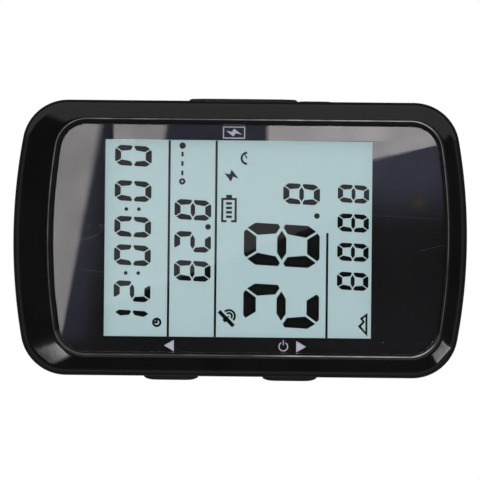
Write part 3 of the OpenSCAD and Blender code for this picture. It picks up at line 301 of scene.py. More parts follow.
def top_shell_form():
    """Closed profile carried round the case.

    From the seam: bevel, side, arc of TOP_EDGE up to TOP_TURN degrees, straight slope blended
    point by point from the case's outline to the lens's, flat rim, fillet of FILLET, bevel at
    45 degrees, pocket wall, ledge, window wall, deck and inner wall.
    """
    arc_z = FACE_Z - FACE_DROP - TOP_EDGE * np.sin(np.radians(TOP_TURN))
    edge = LENS_GAP + LENS_BEVEL
    rings = rings_along(case_ring, [
        (SEAM_BEVEL, SEAM_Z), (SOFT_IN, SEAM_Z + SEAM_BEVEL - SOFT_IN),
        (0.0, SEAM_Z + SEAM_BEVEL + SOFT_UP), (0.0, arc_z - 0.2)])
    rings += rings_along(case_ring, arc_steps(arc_z, TOP_EDGE, TOP_TURN, 14))
    start, stop = rings[-1], at_height(lens_ring(edge + RIM), FACE_Z)
    rings += [start + (stop - start) * t for t in SLOPE_SHARES]
    reach = FILLET * np.tan(np.radians(22.5))
    rings.append(at_height(lens_ring(edge + reach + 0.01), FACE_Z))
    first_highlight_ring = len(rings)
    slopes = [(edge + reach - FILLET * np.sin(turn), FACE_Z - FILLET * (1 - np.cos(turn)))
              for turn in np.radians(np.linspace(0.0, 45.0, 6))]
    slopes += [(edge - drop, FACE_Z - drop) for drop in np.arange(BEVEL_HIGH, BEVEL_LOW, BEVEL_STEP)]
    rings += rings_along(lens_ring, slopes)
    # Strength of a highlight painted along the rim, which the bezel's finish turns into a light colour.
    painted_highlight = np.zeros((len(rings), len(rings[0])))
    painted_highlight[first_highlight_ring:] = rim_highlight_strength(np.array([grow for grow, _ in slopes]), edge)
    rings += rings_along(lens_ring, [
        (LENS_GAP + SOFT_IN, LENS_TOP + SOFT_IN), (LENS_GAP, LENS_TOP - SOFT_IN),
        (LENS_GAP, ADHESIVE_Z)])
    window = bowed_outline(WINDOW_W + 2 * WINDOW_MARGIN, WINDOW_L + 2 * WINDOW_MARGIN,
                           WINDOW_BOW, WINDOW_CORNER, WINDOW_Y)
    rings += [at_height(window, z) for z in (ADHESIVE_Z, DECK_Z)]
    rings += rings_along(case_ring, [(WALL, DECK_Z), (WALL, SEAM_Z)])
    return loft(rings, closed=True), painted_highlight.ravel()


def lip_form():
    """Step and lip under the seam, which locate the two halves of the case."""
    return loft(rings_along(case_ring, [
        (LIP_STEP, SEAM_Z), (LIP_STEP, SEAM_Z + LIP_H), (LIP_IN, SEAM_Z + LIP_H),
        (LIP_IN, SEAM_Z - LIP_H), (LIP_OUT, SEAM_Z - LIP_H), (LIP_OUT, SEAM_Z)]), closed=True)


post_places = [(sx * POST_X, sy * POST_Y) for sx in (-1, 1) for sy in (-1, 1)]
top_posts = [tube(x, y, SEAM_Z + POST_GAP, DECK_Z + POST_SINK, POST_R, POST_BORE)
             for x, y in post_places]
# The shell's second value is the strength of the painted rim highlight at each point.
top_form, rim_highlight = top_shell_form()
top_shell = make_piece("top_shell", joined(top_form, lip_form(), *top_posts), edge=rim_highlight)
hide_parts("top_cover")
print("top shell faces:", len(top_shell.data.polygons))

# %% [markdown]
# ## Rear shell
# The lower half is a loft as well, closed by a flat back and a flat floor. Its holes, the key
# slots, the seat of the port cover and the screw recesses, all lie in flat walls, so they are
# cut with booleans: one form after another is taken away by the exact solver. Each result is
# applied at once, and weighted normals keep the flat walls flat.

# %% Helpers for cut forms
ARC_N, LEAST = 16, 0.001


def side_ring(length, height, r, y, z):
    """Rounded rectangle in Y and Z, counter-clockwise as seen from +X, with arcs of radius r."""
    a = np.linspace(0.0, np.pi / 2, ARC_N)
    quarter = np.stack([np.cos(a), np.sin(a)], axis=1) * r
    middle = np.maximum(np.array([length, height]) / 2 - r, LEAST)
    turns = [quarter, quarter[::-1] * [-1, 1], -quarter, quarter[::-1] * [1, -1]]
    ends = [middle, middle * [-1, 1], -middle, middle * [1, -1]]
    return np.concatenate([t + e for t, e in zip(turns, ends)]) + [y, z]


def side_form(steps, y, z):
    """Loft along X through rounded rectangles given as x, length, height and corner radius."""
    rings = []
    for x, length, height, r in steps:
        ring = side_ring(length, height, r, y, z)
        rings.append(np.column_stack([np.full(len(ring), x), ring]))
    return loft(rings)


def side_block(x0, x1, size, y, z):
    """Straight side form from x0 to x1. Size is its length, height and corner radius."""
    return side_form([(x0, *size), (x1, *size)], y, z)


def apply_boolean(piece, other, operation):
    """Adds other to piece or cuts it away, applies the result and deletes other."""
    step = piece.modifiers.new("boolean", "BOOLEAN")
    step.object = other
    step.operation = operation
    step.solver = "EXACT"
    bpy.context.view_layer.update()
    done = piece.evaluated_get(bpy.context.evaluated_depsgraph_get())
    mesh = bpy.data.meshes.new_from_object(done)
    piece.modifiers.clear()
    piece.data = mesh
    bpy.data.objects.remove(other)


# %% Rear shell
HALF_W, PAST = CASE_W / 2, 0.5
KEY_SLOT, PORT_SEAT, PORT_SEAT_X = (10.5, 3.5, 1.75), (20.44, 4.44, 1.72), 24.3
STRAP_SEAT, STRAP_SEAT_Y, STRAP_DEPTH = (7.7, 3.24, 1.5), -12.85, 0.9
PLUG_HOLE, PEG_HOLE, HOLE_X = (9.8, 3.6, 1.5), (2.44, 2.44, 1.22), (23.0, 24.6, 24.9)
HEAD_R, HEAD_DEPTH, SCREW_R = 2.0, 2.0, 1.1
VENT_X, VENT_Y, VENT_SPREAD, VENT_R = 14.6, 13.6, 1.1, 0.4
MOUNT_SCREWS_AT, MOUNT_RECESS_R, MOUNT_RECESS = 8.5, 1.9, 0.8


def rear_shell_form():
    """Loft from the flat back, round an edge of BACK_EDGE, up the side, over the seam and its
    step, down the inner wall to the floor."""
    turns = np.radians(np.linspace(0.0, 90.0, 16))
    steps = [(BACK_EDGE * (1 - np.sin(t)), BACK_Z + BACK_EDGE * (1 - np.cos(t))) for t in turns]
    steps += [
        (0.0, SEAM_Z - SEAM_BEVEL - SOFT_UP), (SOFT_IN, SEAM_Z - SEAM_BEVEL + SOFT_IN),
        (SEAM_BEVEL, SEAM_Z), (LIP_STEP, SEAM_Z), (LIP_STEP, SEAM_Z - 1.0), (WALL, SEAM_Z - 1.0),
        (WALL, FLOOR_Z)]
    return loft(rings_along(case_ring, steps))


def rear_cutters():
    """Every cutting form of the rear shell: key slots, port seat, strap seat, opening, peg hole,
    screw recesses and their holes, vent holes and the mount's screw holes."""
    out = HALF_W + PAST
    forms = [side_block(-out, -HALF_W + WALL + PAST, KEY_SLOT, y, KEY_Z) for y in KEY_YS.values()]
    forms += [
        side_block(PORT_SEAT_X, out, PORT_SEAT, PORT_Y, PORT_Z),
        side_block(HALF_W - STRAP_DEPTH, out, STRAP_SEAT, STRAP_SEAT_Y, PORT_Z),
        side_block(HOLE_X[0], HOLE_X[1], PLUG_HOLE, PORT_Y, PORT_Z),
        side_block(HOLE_X[0], HOLE_X[2], PEG_HOLE, PEG_Y, PORT_Z)]
    for x, y in post_places:
        forms.append(tube(x, y, BACK_Z - PAST, BACK_Z + HEAD_DEPTH, HEAD_R))
        forms.append(tube(x, y, BACK_Z + HEAD_DEPTH - PAST, SEAM_Z + PAST, SCREW_R))
    for a in np.radians([0.0, 120.0, 240.0]):
        x, y = VENT_X + VENT_SPREAD * np.cos(a), VENT_Y + VENT_SPREAD * np.sin(a)
        forms.append(tube(x, y, BACK_Z - PAST, FLOOR_Z + PAST, VENT_R, n=20))
    for a in np.radians([45.0, 135.0, 225.0, 315.0]):
        x, y = MOUNT_SCREWS_AT * np.cos(a), MOUNT_SCREWS_AT * np.sin(a)
        forms.append(tube(x, y, BACK_Z - PAST, FLOOR_Z + PAST, SCREW_R, n=32))
        forms.append(tube(x, y, FLOOR_Z - MOUNT_RECESS, FLOOR_Z + PAST, MOUNT_RECESS_R, n=32))
    return forms


rear_shell = make_piece("rear_shell", rear_shell_form())
for x, y in post_places:
    apply_boolean(rear_shell, make_piece("post", tube(x, y, FLOOR_Z - 0.6, SEAM_Z, POST_R)), "UNION")
for form in rear_cutters():
    apply_boolean(rear_shell, make_piece("cutter", form), "DIFFERENCE")
rear_shell.data.shade_smooth()
rear_shell.data.set_sharp_from_angle(angle=math.radians(30.0))
rear_shell.modifiers.new("weighted normals", "WEIGHTED_NORMAL").keep_sharp = True
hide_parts("rear_cover")
print("rear shell faces:", len(rear_shell.data.polygons))

# %% [markdown]
# ## Lens
# The lens is a flat pane with a polished edge. Its edge is rounded by about a tenth of a
# millimetre, which draws the thin bright line round it. Its underside stays a hundredth of a
# millimetre above the printed border, so the two faces never fight for the same place.

# %% Lens pane
LENS_ROUND, PRINT_CLEAR = 0.12, 0.01


def lens_pane_form():
    """Underside, straight edge, arc of LENS_ROUND over the top edge, then flat to the middle."""
    low = LENS_LOW + PRINT_CLEAR
    steps = [(-SOFT_IN, low), (0.0, low + SOFT_IN)]
    steps += [(-inset, z) for inset, z in arc_steps(LENS_TOP - LENS_ROUND, LENS_ROUND, 90.0, 9)]
    steps.append((-LENS_ROUND - 0.03, LENS_TOP))
    return loft(rings_along(lens_ring, steps))


lens_pane = make_piece("lens_pane", lens_pane_form(), sharp=35.0)
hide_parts("lens")

# %% Front glass of the display
CHAMFER = 0.08


def front_glass_form():
    """Rectangular pane with a small chamfer round its top, its underside clear of the ink."""
    low, high = (np.array(corner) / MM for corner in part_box("front_glass"))
    middle, half = (high + low)[:2] / 2, (high - low)[:2] / 2
    corners = np.array([(1, -1), (1, 1), (-1, 1), (-1, -1)])
    profile = [(0.0, low[2] + PRINT_CLEAR), (0.0, high[2] - CHAMFER), (CHAMFER, high[2])]
    return loft([at_height(middle + corners * (half - inset), z) for inset, z in profile])


front_pane = make_piece("front_pane", front_glass_form(), sharp=20.0)
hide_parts("front_glass")

# %% [markdown]
# ## Keys and port cover
# The keys are rubber caps with a crowned face. The port cover is a rubber plate with a softly
# rounded edge and a plug behind it, held by a short flat strap. Each is a loft along X through
# rounded rectangles, with an elliptic arc where the face turns into the side.

# %% Keys
KEY_CAP, KEY_EDGE_X, KEY_FACE_X = (10.2, 3.2, 1.6), 25.6, 26.35
KEY_SHRINK, LENGTH_SHARE, DOME_N = 1.1, 3.8, 9


def key_cap_form(y):
    """Flange inside the wall, shank through the slot, and outside a quarter of an ellipse: while
    x goes from KEY_EDGE_X to KEY_FACE_X, the height shrinks by KEY_SHRINK and the length by
    LENGTH_SHARE times that."""
    steps = [(22.65, 11.3, 4.3, 2.15), (23.1, 11.3, 4.3, 2.15), (23.15, 11.2, 4.2, 2.1),
             (23.15, *KEY_CAP), (25.5, *KEY_CAP)]
    length, height, _ = KEY_CAP
    for t in np.linspace(0.0, np.pi / 2, DOME_N):
        less = KEY_SHRINK * (1 - np.cos(t))
        x = KEY_EDGE_X + (KEY_FACE_X - KEY_EDGE_X) * np.sin(t)
        steps.append((x, length - LENGTH_SHARE * less, height - less, (height - less) / 2))
    points, faces = side_form(steps, -y, KEY_Z)
    return points * [-1.0, -1.0, 1.0], faces


for node, y in KEY_YS.items():
    cap = make_piece(node + "_cap", key_cap_form(y), sharp=35.0)
    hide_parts(node)
    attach(cap, node)

# %% Port cover and its strap
PORT_COVER, PORT_EDGE_X, PORT_RISE = (20.2, 4.2, 1.6), 25.75, 0.42


def port_cover_form():
    """Plug, back plate, and a face with an edge rounded by 1 mm of its length and height."""
    plug = [(23.6, 9.16, 2.96, 1.2), (23.75, 9.36, 3.16, 1.28), (24.32, 9.36, 3.16, 1.28)]
    cover = [(24.3, 20.0, 4.0, 1.5), (24.4, *PORT_COVER), (25.7, *PORT_COVER)]
    length, height, corner = PORT_COVER
    for t in np.radians(np.linspace(0.0, 90.0, DOME_N)):
        less = 1 - np.cos(t)
        x = PORT_EDGE_X + PORT_RISE * np.sin(t)
        cover.append((x, length - less, height - less, corner - less / 2))
    cover.append((26.25, 15.0, 1.4, 0.65))
    return joined(side_form(plug, PORT_Y, PORT_Z), side_form(cover, PORT_Y, PORT_Z))


def port_strap_form():
    """Flat strap with round ends, and the peg with its head through the wall."""
    strap = [(24.6, 6.1, 3.0, 1.49), (25.6, 6.1, 3.0, 1.49), (25.78, 6.0, 2.9, 1.44),
             (25.87, 5.8, 2.7, 1.34), (25.9, 5.5, 2.4, 1.19)]
    peg = [(22.9, 3.2, 3.2, 1.6), (23.0, 3.4, 3.4, 1.7), (23.5, 3.4, 3.4, 1.7),
           (23.5, 2.2, 2.2, 1.1), (24.62, 2.2, 2.2, 1.1)]
    return joined(side_form(strap, STRAP_Y, PORT_Z), side_form(peg, PEG_Y, PORT_Z))


port_plate = make_piece("port_plate", port_cover_form(), sharp=35.0)
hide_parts("port_cover")
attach(port_plate, "port_cover")
port_strap = make_piece("port_strap", port_strap_form(), sharp=35.0)
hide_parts("port_anchor")
for piece in (port_strap, top_shell, rear_shell, lens_pane, front_pane):
    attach(piece, "case")

# %% [markdown]
# ## Softer edges on the solids that stay
# The other pieces keep their solid form. Moulded and stamped pieces never have razor edges, so
# a merged mesh gets a narrow bevel and weighted normals. The modifiers work on top of the
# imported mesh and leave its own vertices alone.

# %% Bevel the carried-over solids
EDGE_ANGLE, MERGE = 35.0, 1e-6
EDGE_WIDTHS = {
    "twist_mount": 0.18, "case_screws": 0.06, "mount_screws": 0.06, "board_screws": 0.06,
    "shield_can": 0.12, "gps_antenna": 0.12, "processor_chip": 0.06, "memory_chip": 0.06,
    "battery_cell": 0.3, "battery_plug": 0.1, "battery_header": 0.1, "charging_socket": 0.04,
    "page_switch": 0.12, "power_switch": 0.12, "buzzer": 0.12, "display_frame": 0.08,
    "ribbon_connector": 0.06, "pressure_sensor": 0.08, "radio_antenna": 0.08,
}


def soften(node, width):
    """Merges the node's loose triangles, then bevels edges over EDGE_ANGLE degrees by width
    millimetres."""
    piece = nodes[node]
    weld = piece.modifiers.new("weld", "WELD")
    weld.merge_threshold = MERGE
    bevel = piece.modifiers.new("bevel", "BEVEL")
    bevel.width = width * MM
    bevel.segments = 2
    bevel.limit_method = "ANGLE"
    bevel.angle_limit = math.radians(EDGE_ANGLE)
    bevel.use_clamp_overlap = True
    bevel.harden_normals = False
    piece.data.polygons.foreach_set("use_smooth", np.ones(len(piece.data.polygons), dtype=bool))
    normals = piece.modifiers.new("weighted normals", "WEIGHTED_NORMAL")
    normals.keep_sharp = True


for node, width in EDGE_WIDTHS.items():
    soften(node, width)
print("softened solids:", len(EDGE_WIDTHS))

# %% [markdown]
# ## Shared effects
# Plastic, rubber, metal and glass differ in colour and gloss, but they all carry the same few
# effects: a tone that wanders, specks of dust, hairline scratches and a fine moulded relief.
# Each effect is one node group with its own inputs. A group puts out only colours and masks,
# and the shader itself stays in each material.

# %% Helpers for node trees
def feed(tree, made, inputs):
    """Fills a node's inputs by name or number: a socket is linked, any other value is set."""
    for key, value in inputs.items():
        if isinstance(value, bpy.types.NodeSocket):
            tree.links.new(value, made.inputs[key])
        else:
            made.inputs[key].default_value = value
    return made


def add_node(tree, kind, inputs=None, **settings):
    """New shader node of a kind such as TexNoise, with its settings and its inputs."""
    made = tree.nodes.new("ShaderNode" + kind)
    for key, value in settings.items():
        setattr(made, key, value)
    return feed(tree, made, inputs or {})


def object_place(tree):
    """Place of each point on the piece, in metres."""
    return add_node(tree, "TexCoord").outputs["Object"]


def noise_at(tree, vector, scale, detail=2.0):
    """Value of a soft noise at a vector."""
    inputs = {"Vector": vector, "Scale": scale, "Detail": detail}
    return add_node(tree, "TexNoise", inputs).outputs[0]


def maths(tree, operation, *values):
    """Output of a Math node over two or three values or sockets."""
    return add_node(tree, "Math", dict(enumerate(values)), operation=operation).outputs[0]


def plus(tree, value, mask, amount):
    """Value plus mask times amount."""
    return maths(tree, "ADD", value, maths(tree, "MULTIPLY", mask, amount))


def ramp(tree, value, low, high, to_low=0.0, to_high=1.0):
    """Value mapped smoothly from low..high to to_low..to_high, and held at both ends."""
    inputs = {"Value": value, "From Min": low, "From Max": high, "To Min": to_low, "To Max": to_high}
    return add_node(tree, "MapRange", inputs, interpolation_type="SMOOTHSTEP").outputs[0]


def mixed(tree, share, first, second):
    """Colour between first and second by share."""
    return add_node(tree, "Mix", {0: share, 6: first, 7: second}, data_type="RGBA").outputs[2]


def new_group(name, inputs, outputs):
    """Empty node group. Inputs are name, socket type and value, and outputs name and type."""
    tree = bpy.data.node_groups.new(name, "ShaderNodeTree")
    for label, kind, value in inputs:
        tree.interface.new_socket(
            label, in_out="INPUT", socket_type="NodeSocket" + kind).default_value = value
    for label, kind in outputs:
        tree.interface.new_socket(label, in_out="OUTPUT", socket_type="NodeSocket" + kind)
    start = tree.nodes.new("NodeGroupInput")
    end = tree.nodes.new("NodeGroupOutput")
    return tree, start.outputs, end.inputs


def spaced(values):
    """The same values with a space for each underscore in their names."""
    return {key.replace("_", " "): value for key, value in values.items()}


def place(tree, group, **inputs):
    """Outputs of a group placed in a tree."""
    return add_node(tree, "Group", spaced(inputs), node_tree=group).outputs


# %% Tone, dust, scratches and relief as groups
NOISE_SPAN = (0.3, 0.7)
CLUSTER_SHARE, CLUSTER_SPAN, DOT_GROWTH, DOT_SOFT = 0.06, (0.35, 0.7), 1.6, 0.06
HAIR_WAYS, HAIR_SOFT = ((38.0, 0.12), (-64.0, 0.2)), 0.003
BREAK_SHARE, BREAK_BAR, BREAK_EASE, BREAK_SOFT = 2.3, 0.75, 0.4, 0.08
SINK_SHARE = 0.04


def tone_group():
    """Base colour times 1 plus or minus spread, by a soft noise."""
    tree, given, out = new_group(
        "wandering tone",
        [("Color", "Color", (0.5, 0.5, 0.5, 1.0)), ("Scale", "Float", 100.0), ("Spread", "Float", 0.1)],
        [("Color", "Color")])
    noise = noise_at(tree, object_place(tree), given["Scale"], 5.0)
    swing = maths(tree, "MULTIPLY", ramp(tree, noise, *NOISE_SPAN, -1.0, 1.0), given["Spread"])
    scaled = add_node(tree, "VectorMath", {0: given["Color"]}, operation="SCALE")
    feed(tree, scaled, {"Scale": maths(tree, "ADD", swing, 1.0)})
    tree.links.new(scaled.outputs[0], out["Color"])
    return tree


def dust_group():
    """Mask of round specks: a few cells of a Voronoi pattern get a dot, most in loose clusters."""
    tree, given, out = new_group(
        "dust specks", [("Scale", "Float", 700.0), ("Cover", "Float", 0.2)], [("Mask", "Float")])
    place_at = object_place(tree)
    cells = add_node(tree, "TexVoronoi", {"Vector": place_at, "Scale": given["Scale"]})
    luck = add_node(tree, "SeparateColor", {0: cells.outputs["Color"]}).outputs[0]
    cluster = noise_at(tree, place_at, maths(tree, "MULTIPLY", given["Scale"], CLUSTER_SHARE))
    bar = maths(tree, "SUBTRACT", 1.0, maths(
        tree, "MULTIPLY", given["Cover"], ramp(tree, cluster, *CLUSTER_SPAN)))
    chosen = maths(tree, "MAXIMUM", maths(tree, "SUBTRACT", luck, bar), 0.0)
    size = maths(tree, "MULTIPLY", chosen, DOT_GROWTH)
    near = maths(tree, "SUBTRACT", size, cells.outputs["Distance"])
    tree.links.new(ramp(tree, near, 0.0, DOT_SOFT), out["Mask"])
    return tree


def scratch_group():
    """Mask of hairlines: a stretched noise is near its middle value only along thin, nearly
    straight lines, and a second noise breaks them into short pieces. Two directions add up."""
    tree, given, out = new_group(
        "hairlines",
        [("Scale", "Float", 90.0), ("Width", "Float", 0.004), ("Amount", "Float", 0.5)],
        [("Mask", "Float")])
    place_at = object_place(tree)
    lines = []
    for turn, stretch in HAIR_WAYS:
        turned = add_node(tree, "Mapping", {
            "Vector": place_at, "Rotation": (0.0, 0.0, math.radians(turn)),
            "Scale": (1.0, stretch, 1.0)}).outputs[0]
        noise = noise_at(tree, turned, given["Scale"], 0.0)
        off = maths(tree, "ABSOLUTE", maths(tree, "SUBTRACT", noise, 0.5))
        line = ramp(tree, maths(tree, "SUBTRACT", given["Width"], off), 0.0, HAIR_SOFT)
        breaks = noise_at(tree, turned, maths(tree, "MULTIPLY", given["Scale"], BREAK_SHARE), 1.0)
        bar = maths(tree, "SUBTRACT", BREAK_BAR, maths(tree, "MULTIPLY", given["Amount"], BREAK_EASE))
        lines.append(maths(tree, "MULTIPLY", line, ramp(
            tree, maths(tree, "SUBTRACT", breaks, bar), 0.0, BREAK_SOFT)))
    tree.links.new(maths(tree, "MAXIMUM", *lines), out["Mask"])
    return tree


def relief_group():
    """Height of a fine moulded grain, with a slower sink added."""
    tree, given, out = new_group(
        "moulded relief", [("Scale", "Float", 3000.0), ("Sink", "Float", 0.3)], [("Height", "Float")])
    place_at = object_place(tree)
    fine = noise_at(tree, place_at, given["Scale"])
    slow = noise_at(tree, place_at, maths(tree, "MULTIPLY", given["Scale"], SINK_SHARE))
    tree.links.new(plus(tree, fine, slow, given["Sink"]), out["Height"])
    return tree


TONE, DUST, HAIRLINES, RELIEF = tone_group(), dust_group(), scratch_group(), relief_group()
print("shared effects:", [g.name for g in (TONE, DUST, HAIRLINES, RELIEF)])

# %% [markdown]
# ## One recipe for solid finishes
# Most finishes differ only in numbers, so one function builds them: a wandering tone with dust
# on it feeds the colour, hairlines and a noise feed the roughness, and the relief feeds the
# normal. What is the same all over, such as the metal share or the specular level, is set on
# the shader itself.

# %% Solid finish
ROUGH_SHARE, DUST_SHARE = 3.0, 0.7
HAIR_ROUGH, DUST_ROUGH, HIGHLIGHT_ROUGH = 0.25, 0.3, 0.25
PATCH_SCALE, PATCH_LEAST = 260.0, 0.45


def new_material(name):
    """New material, its node tree and its Principled shader."""
    material = bpy.data.materials.new(name)
    material.use_nodes = True
    tree = material.node_tree
    return material, tree, tree.nodes["Principled BSDF"]


def finish(name, colour, roughness, metal=0.0, spread=0.1, tone=120.0, grain=3600.0, depth=0.0,
           dust=0.0, dust_scale=900.0, dust_colour=(0.1, 0.1, 0.1), hairlines=0.0,
           hair_scale=90.0, hair_lift=0.01, rough_spread=0.05, painted_highlight=None, **constants):
    """Procedural material. Depth is the relief's height in millimetres. Where the piece's edge
    attribute is set, a painted highlight of the given colour is mixed in, broken up by a noise."""
    material, tree, shader = new_material(name)
    colour_out = place(tree, TONE, Color=(*colour, 1.0), Scale=tone, Spread=spread)["Color"]
    place_at = object_place(tree)
    noise = noise_at(tree, place_at, tone * ROUGH_SHARE)
    rough = ramp(tree, noise, *NOISE_SPAN, roughness - rough_spread, roughness + rough_spread)
    if hairlines:
        marks = place(tree, HAIRLINES, Scale=hair_scale, Amount=hairlines)["Mask"]
        rough = plus(tree, rough, marks, HAIR_ROUGH)
        lifted = tuple(c + hair_lift for c in colour)
        colour_out = mixed(tree, marks, colour_out, (*lifted, 1.0))
    if dust:
        specks = place(tree, DUST, Scale=dust_scale, Cover=dust)["Mask"]
        share = maths(tree, "MULTIPLY", specks, DUST_SHARE)
        colour_out = mixed(tree, share, colour_out, (*dust_colour, 1.0))
        rough = plus(tree, rough, specks, DUST_ROUGH)
    # Painted highlight: a light colour mixed in, and the roughness raised, along the edges that the
    # attribute marks.
    if painted_highlight:
        edge = add_node(tree, "Attribute", attribute_name="edge").outputs["Fac"]
        patchy = noise_at(tree, place_at, PATCH_SCALE, 4.0)
        patches = ramp(tree, patchy, *NOISE_SPAN, PATCH_LEAST, 1.0)
        share = maths(tree, "MULTIPLY", edge, patches)
        colour_out = mixed(tree, share, colour_out, (*painted_highlight, 1.0))
        rough = plus(tree, rough, share, HIGHLIGHT_ROUGH)
    feed(tree, shader, {"Base Color": colour_out, "Roughness": rough, "Metallic": metal})
    if depth:
        height = place(tree, RELIEF, Scale=grain)["Height"]
        bump = add_node(tree, "Bump", {"Height": height, "Strength": 1.0, "Distance": depth * MM})
        feed(tree, shader, {"Normal": bump.outputs[0]})
    feed(tree, shader, spaced(constants))
    return material


# %% [markdown]
# ## Finishes of the outside
# The case is black plastic: the top is smooth and dark enough to mirror a lamp, the back is
# satin with a fine grain. The rubber is soft and dull. All three are nearly black, so what the
# eye reads is their gloss. The screws are steel.

# %% Case, rubber and screws
finishes = {
    # The light colour given last is a painted highlight along the rim of the lens.
    "bezel": finish(
        "black gloss plastic", (0.005, 0.005, 0.0053), 0.07, spread=0.2, tone=70.0, depth=0.0012,
        grain=900.0, dust=0.10, dust_scale=520.0, dust_colour=(0.12, 0.12, 0.12), hairlines=0.25,
        hair_scale=60.0, hair_lift=0.012, rough_spread=0.015, painted_highlight=(0.55, 0.55, 0.565)),
    "back": finish(
        "black satin plastic", (0.0075, 0.0075, 0.008), 0.42, spread=0.12, depth=0.012, dust=0.12,
        hairlines=0.3),
    "rubber": finish(
        "black rubber", (0.009, 0.009, 0.0095), 0.62, spread=0.15, grain=5200.0, depth=0.01,
        dust=0.35, dust_scale=1500.0, dust_colour=(0.09, 0.09, 0.085), Specular_IOR_Level=0.35),
    "seal": finish("grey silicone", (0.05, 0.051, 0.053), 0.5, spread=0.08, grain=4200.0, depth=0.008),
    "black_steel": finish(
        "blackened steel", (0.09, 0.09, 0.095), 0.34, metal=1.0, spread=0.2, tone=600.0,
        hairlines=0.5, hair_scale=300.0, hair_lift=0.12),
    "steel": finish(
        "bright steel", (0.55, 0.55, 0.56), 0.26, metal=1.0, tone=500.0, hairlines=0.5,
        hair_scale=320.0, hair_lift=0.15),
}

# %% [markdown]
# ## Finishes of the inside
# Pieces under the covers are dressed too, because the model can be opened: bare board green,
# white moulded frames, orange film, foil, foam and ceramic.

# %% Inside finishes
finishes.update({
    "adhesive": finish("grey tape", (0.045, 0.045, 0.045), 0.6, grain=2500.0, depth=0.01),
    "foam": finish(
        "black foam", (0.02, 0.02, 0.021), 0.85, spread=0.35, tone=2600.0, grain=2600.0, depth=0.08),
    "white_plastic": finish(
        "white plastic", (0.72, 0.72, 0.69), 0.38, spread=0.03, grain=3200.0, depth=0.006,
        dust=0.08, dust_colour=(0.4, 0.38, 0.34)),
    "film_orange": finish(
        "orange film", (0.42, 0.13, 0.018), 0.3, spread=0.12, tone=260.0, hairlines=0.3,
        hair_lift=0.06, Coat_Weight=0.3),
    "chip": finish(
        "black moulding compound", (0.017, 0.017, 0.018), 0.5, spread=0.25, tone=2400.0,
        grain=5200.0, depth=0.012, dust=0.15),
    "ceramic": finish(
        "cream ceramic", (0.48, 0.42, 0.31), 0.55, tone=900.0, grain=2600.0, depth=0.015),
    "foil": finish(
        "silver foil", (0.46, 0.46, 0.47), 0.36, metal=0.85, spread=0.08, tone=160.0, grain=420.0,
        depth=0.09, hairlines=0.4, hair_lift=0.1),
    "lead": finish("red lead", (0.42, 0.018, 0.014), 0.42, spread=0.08, depth=0.004),
})


def board_finish():
    """Green lacquer over copper: the edges of square cells stand for tracks, a little lighter
    and a little higher than the ground."""
    material, tree, shader = new_material("lacquered board")
    cells = add_node(
        tree, "TexVoronoi", {"Vector": object_place(tree), "Scale": 420.0, "Randomness": 0.8},
        feature="DISTANCE_TO_EDGE", distance="EUCLIDEAN")
    tracks = ramp(tree, cells.outputs["Distance"], 0.05, 0.09, 1.0, 0.0)
    ground = place(tree, TONE, Color=(0.006, 0.055, 0.026, 1.0), Scale=90.0, Spread=0.12)["Color"]
    bump = add_node(tree, "Bump", {"Height": tracks, "Distance": 0.02 * MM})
    feed(tree, shader, {
        "Base Color": mixed(tree, tracks, ground, (0.02, 0.13, 0.05, 1.0)),
        "Normal": bump.outputs[0], "Roughness": ramp(tree, tracks, 0.0, 1.0, 0.34, 0.26)})
    return material


def guide_finish():
    """Clear plastic of the light guide, with a fine dotted roughness that lets light out."""
    material, tree, shader = new_material("clear guide plastic")
    cells = add_node(tree, "TexVoronoi", {"Vector": object_place(tree), "Scale": 1600.0})
    colour = place(tree, TONE, Color=(0.95, 0.97, 0.98, 1.0), Scale=50.0, Spread=0.02)["Color"]
    feed(tree, shader, {
        "Base Color": colour, "Roughness": ramp(tree, cells.outputs["Distance"], 0.2, 0.4, 0.32, 0.12),
        "Transmission Weight": 1.0, "IOR": 1.49})
    return material


finishes["board"] = board_finish()
finishes["clear_plastic"] = guide_finish()

# %% [markdown]
# ## Display and lens
# The display is a grey liquid-crystal cell: a pale face behind, dark ink for the strokes,
# clear glass over both. The lens lies above it and mirrors the room, and its border is printed
# black from behind. Light has to reach the face through two panes, so a shadow ray passes
# straight through the glass: that test stays in the material, next to the shader. The face
# also glows faintly, a painted light that makes up for what the panes still hold back and
# evens out the shade near the border.

# %% Display finishes
WHITE = (1.0, 1.0, 1.0, 1.0)
# The face's emission is painted light: a faint glow standing in for light that the panes hold back.
finishes["display_face"] = finish(
    "pale display face", (0.12, 0.16, 0.17), 0.6, spread=0.012, tone=60.0, rough_spread=0.02,
    Specular_IOR_Level=0.2, Emission_Color=(0.41, 0.56, 0.575, 1.0), Emission_Strength=0.78)
finishes["display_ink"] = finish(
    "display ink", (0.0014, 0.0018, 0.0018), 0.5, spread=0.15, tone=900.0, Specular_IOR_Level=0.1)
finishes["pale_print"] = finish(
    "pale print", (0.46, 0.455, 0.55), 0.45, spread=0.08, tone=1800.0, rough_spread=0.04)


def show_mix(tree, share, first, second):
    """Shows two shaders mixed: the first alone where share is 0, the second alone where it is 1."""
    choice = add_node(tree, "MixShader", {0: share, 1: first.outputs[0], 2: second.outputs[0]})
    feed(tree, tree.nodes["Material Output"], {"Surface": choice.outputs[0]})


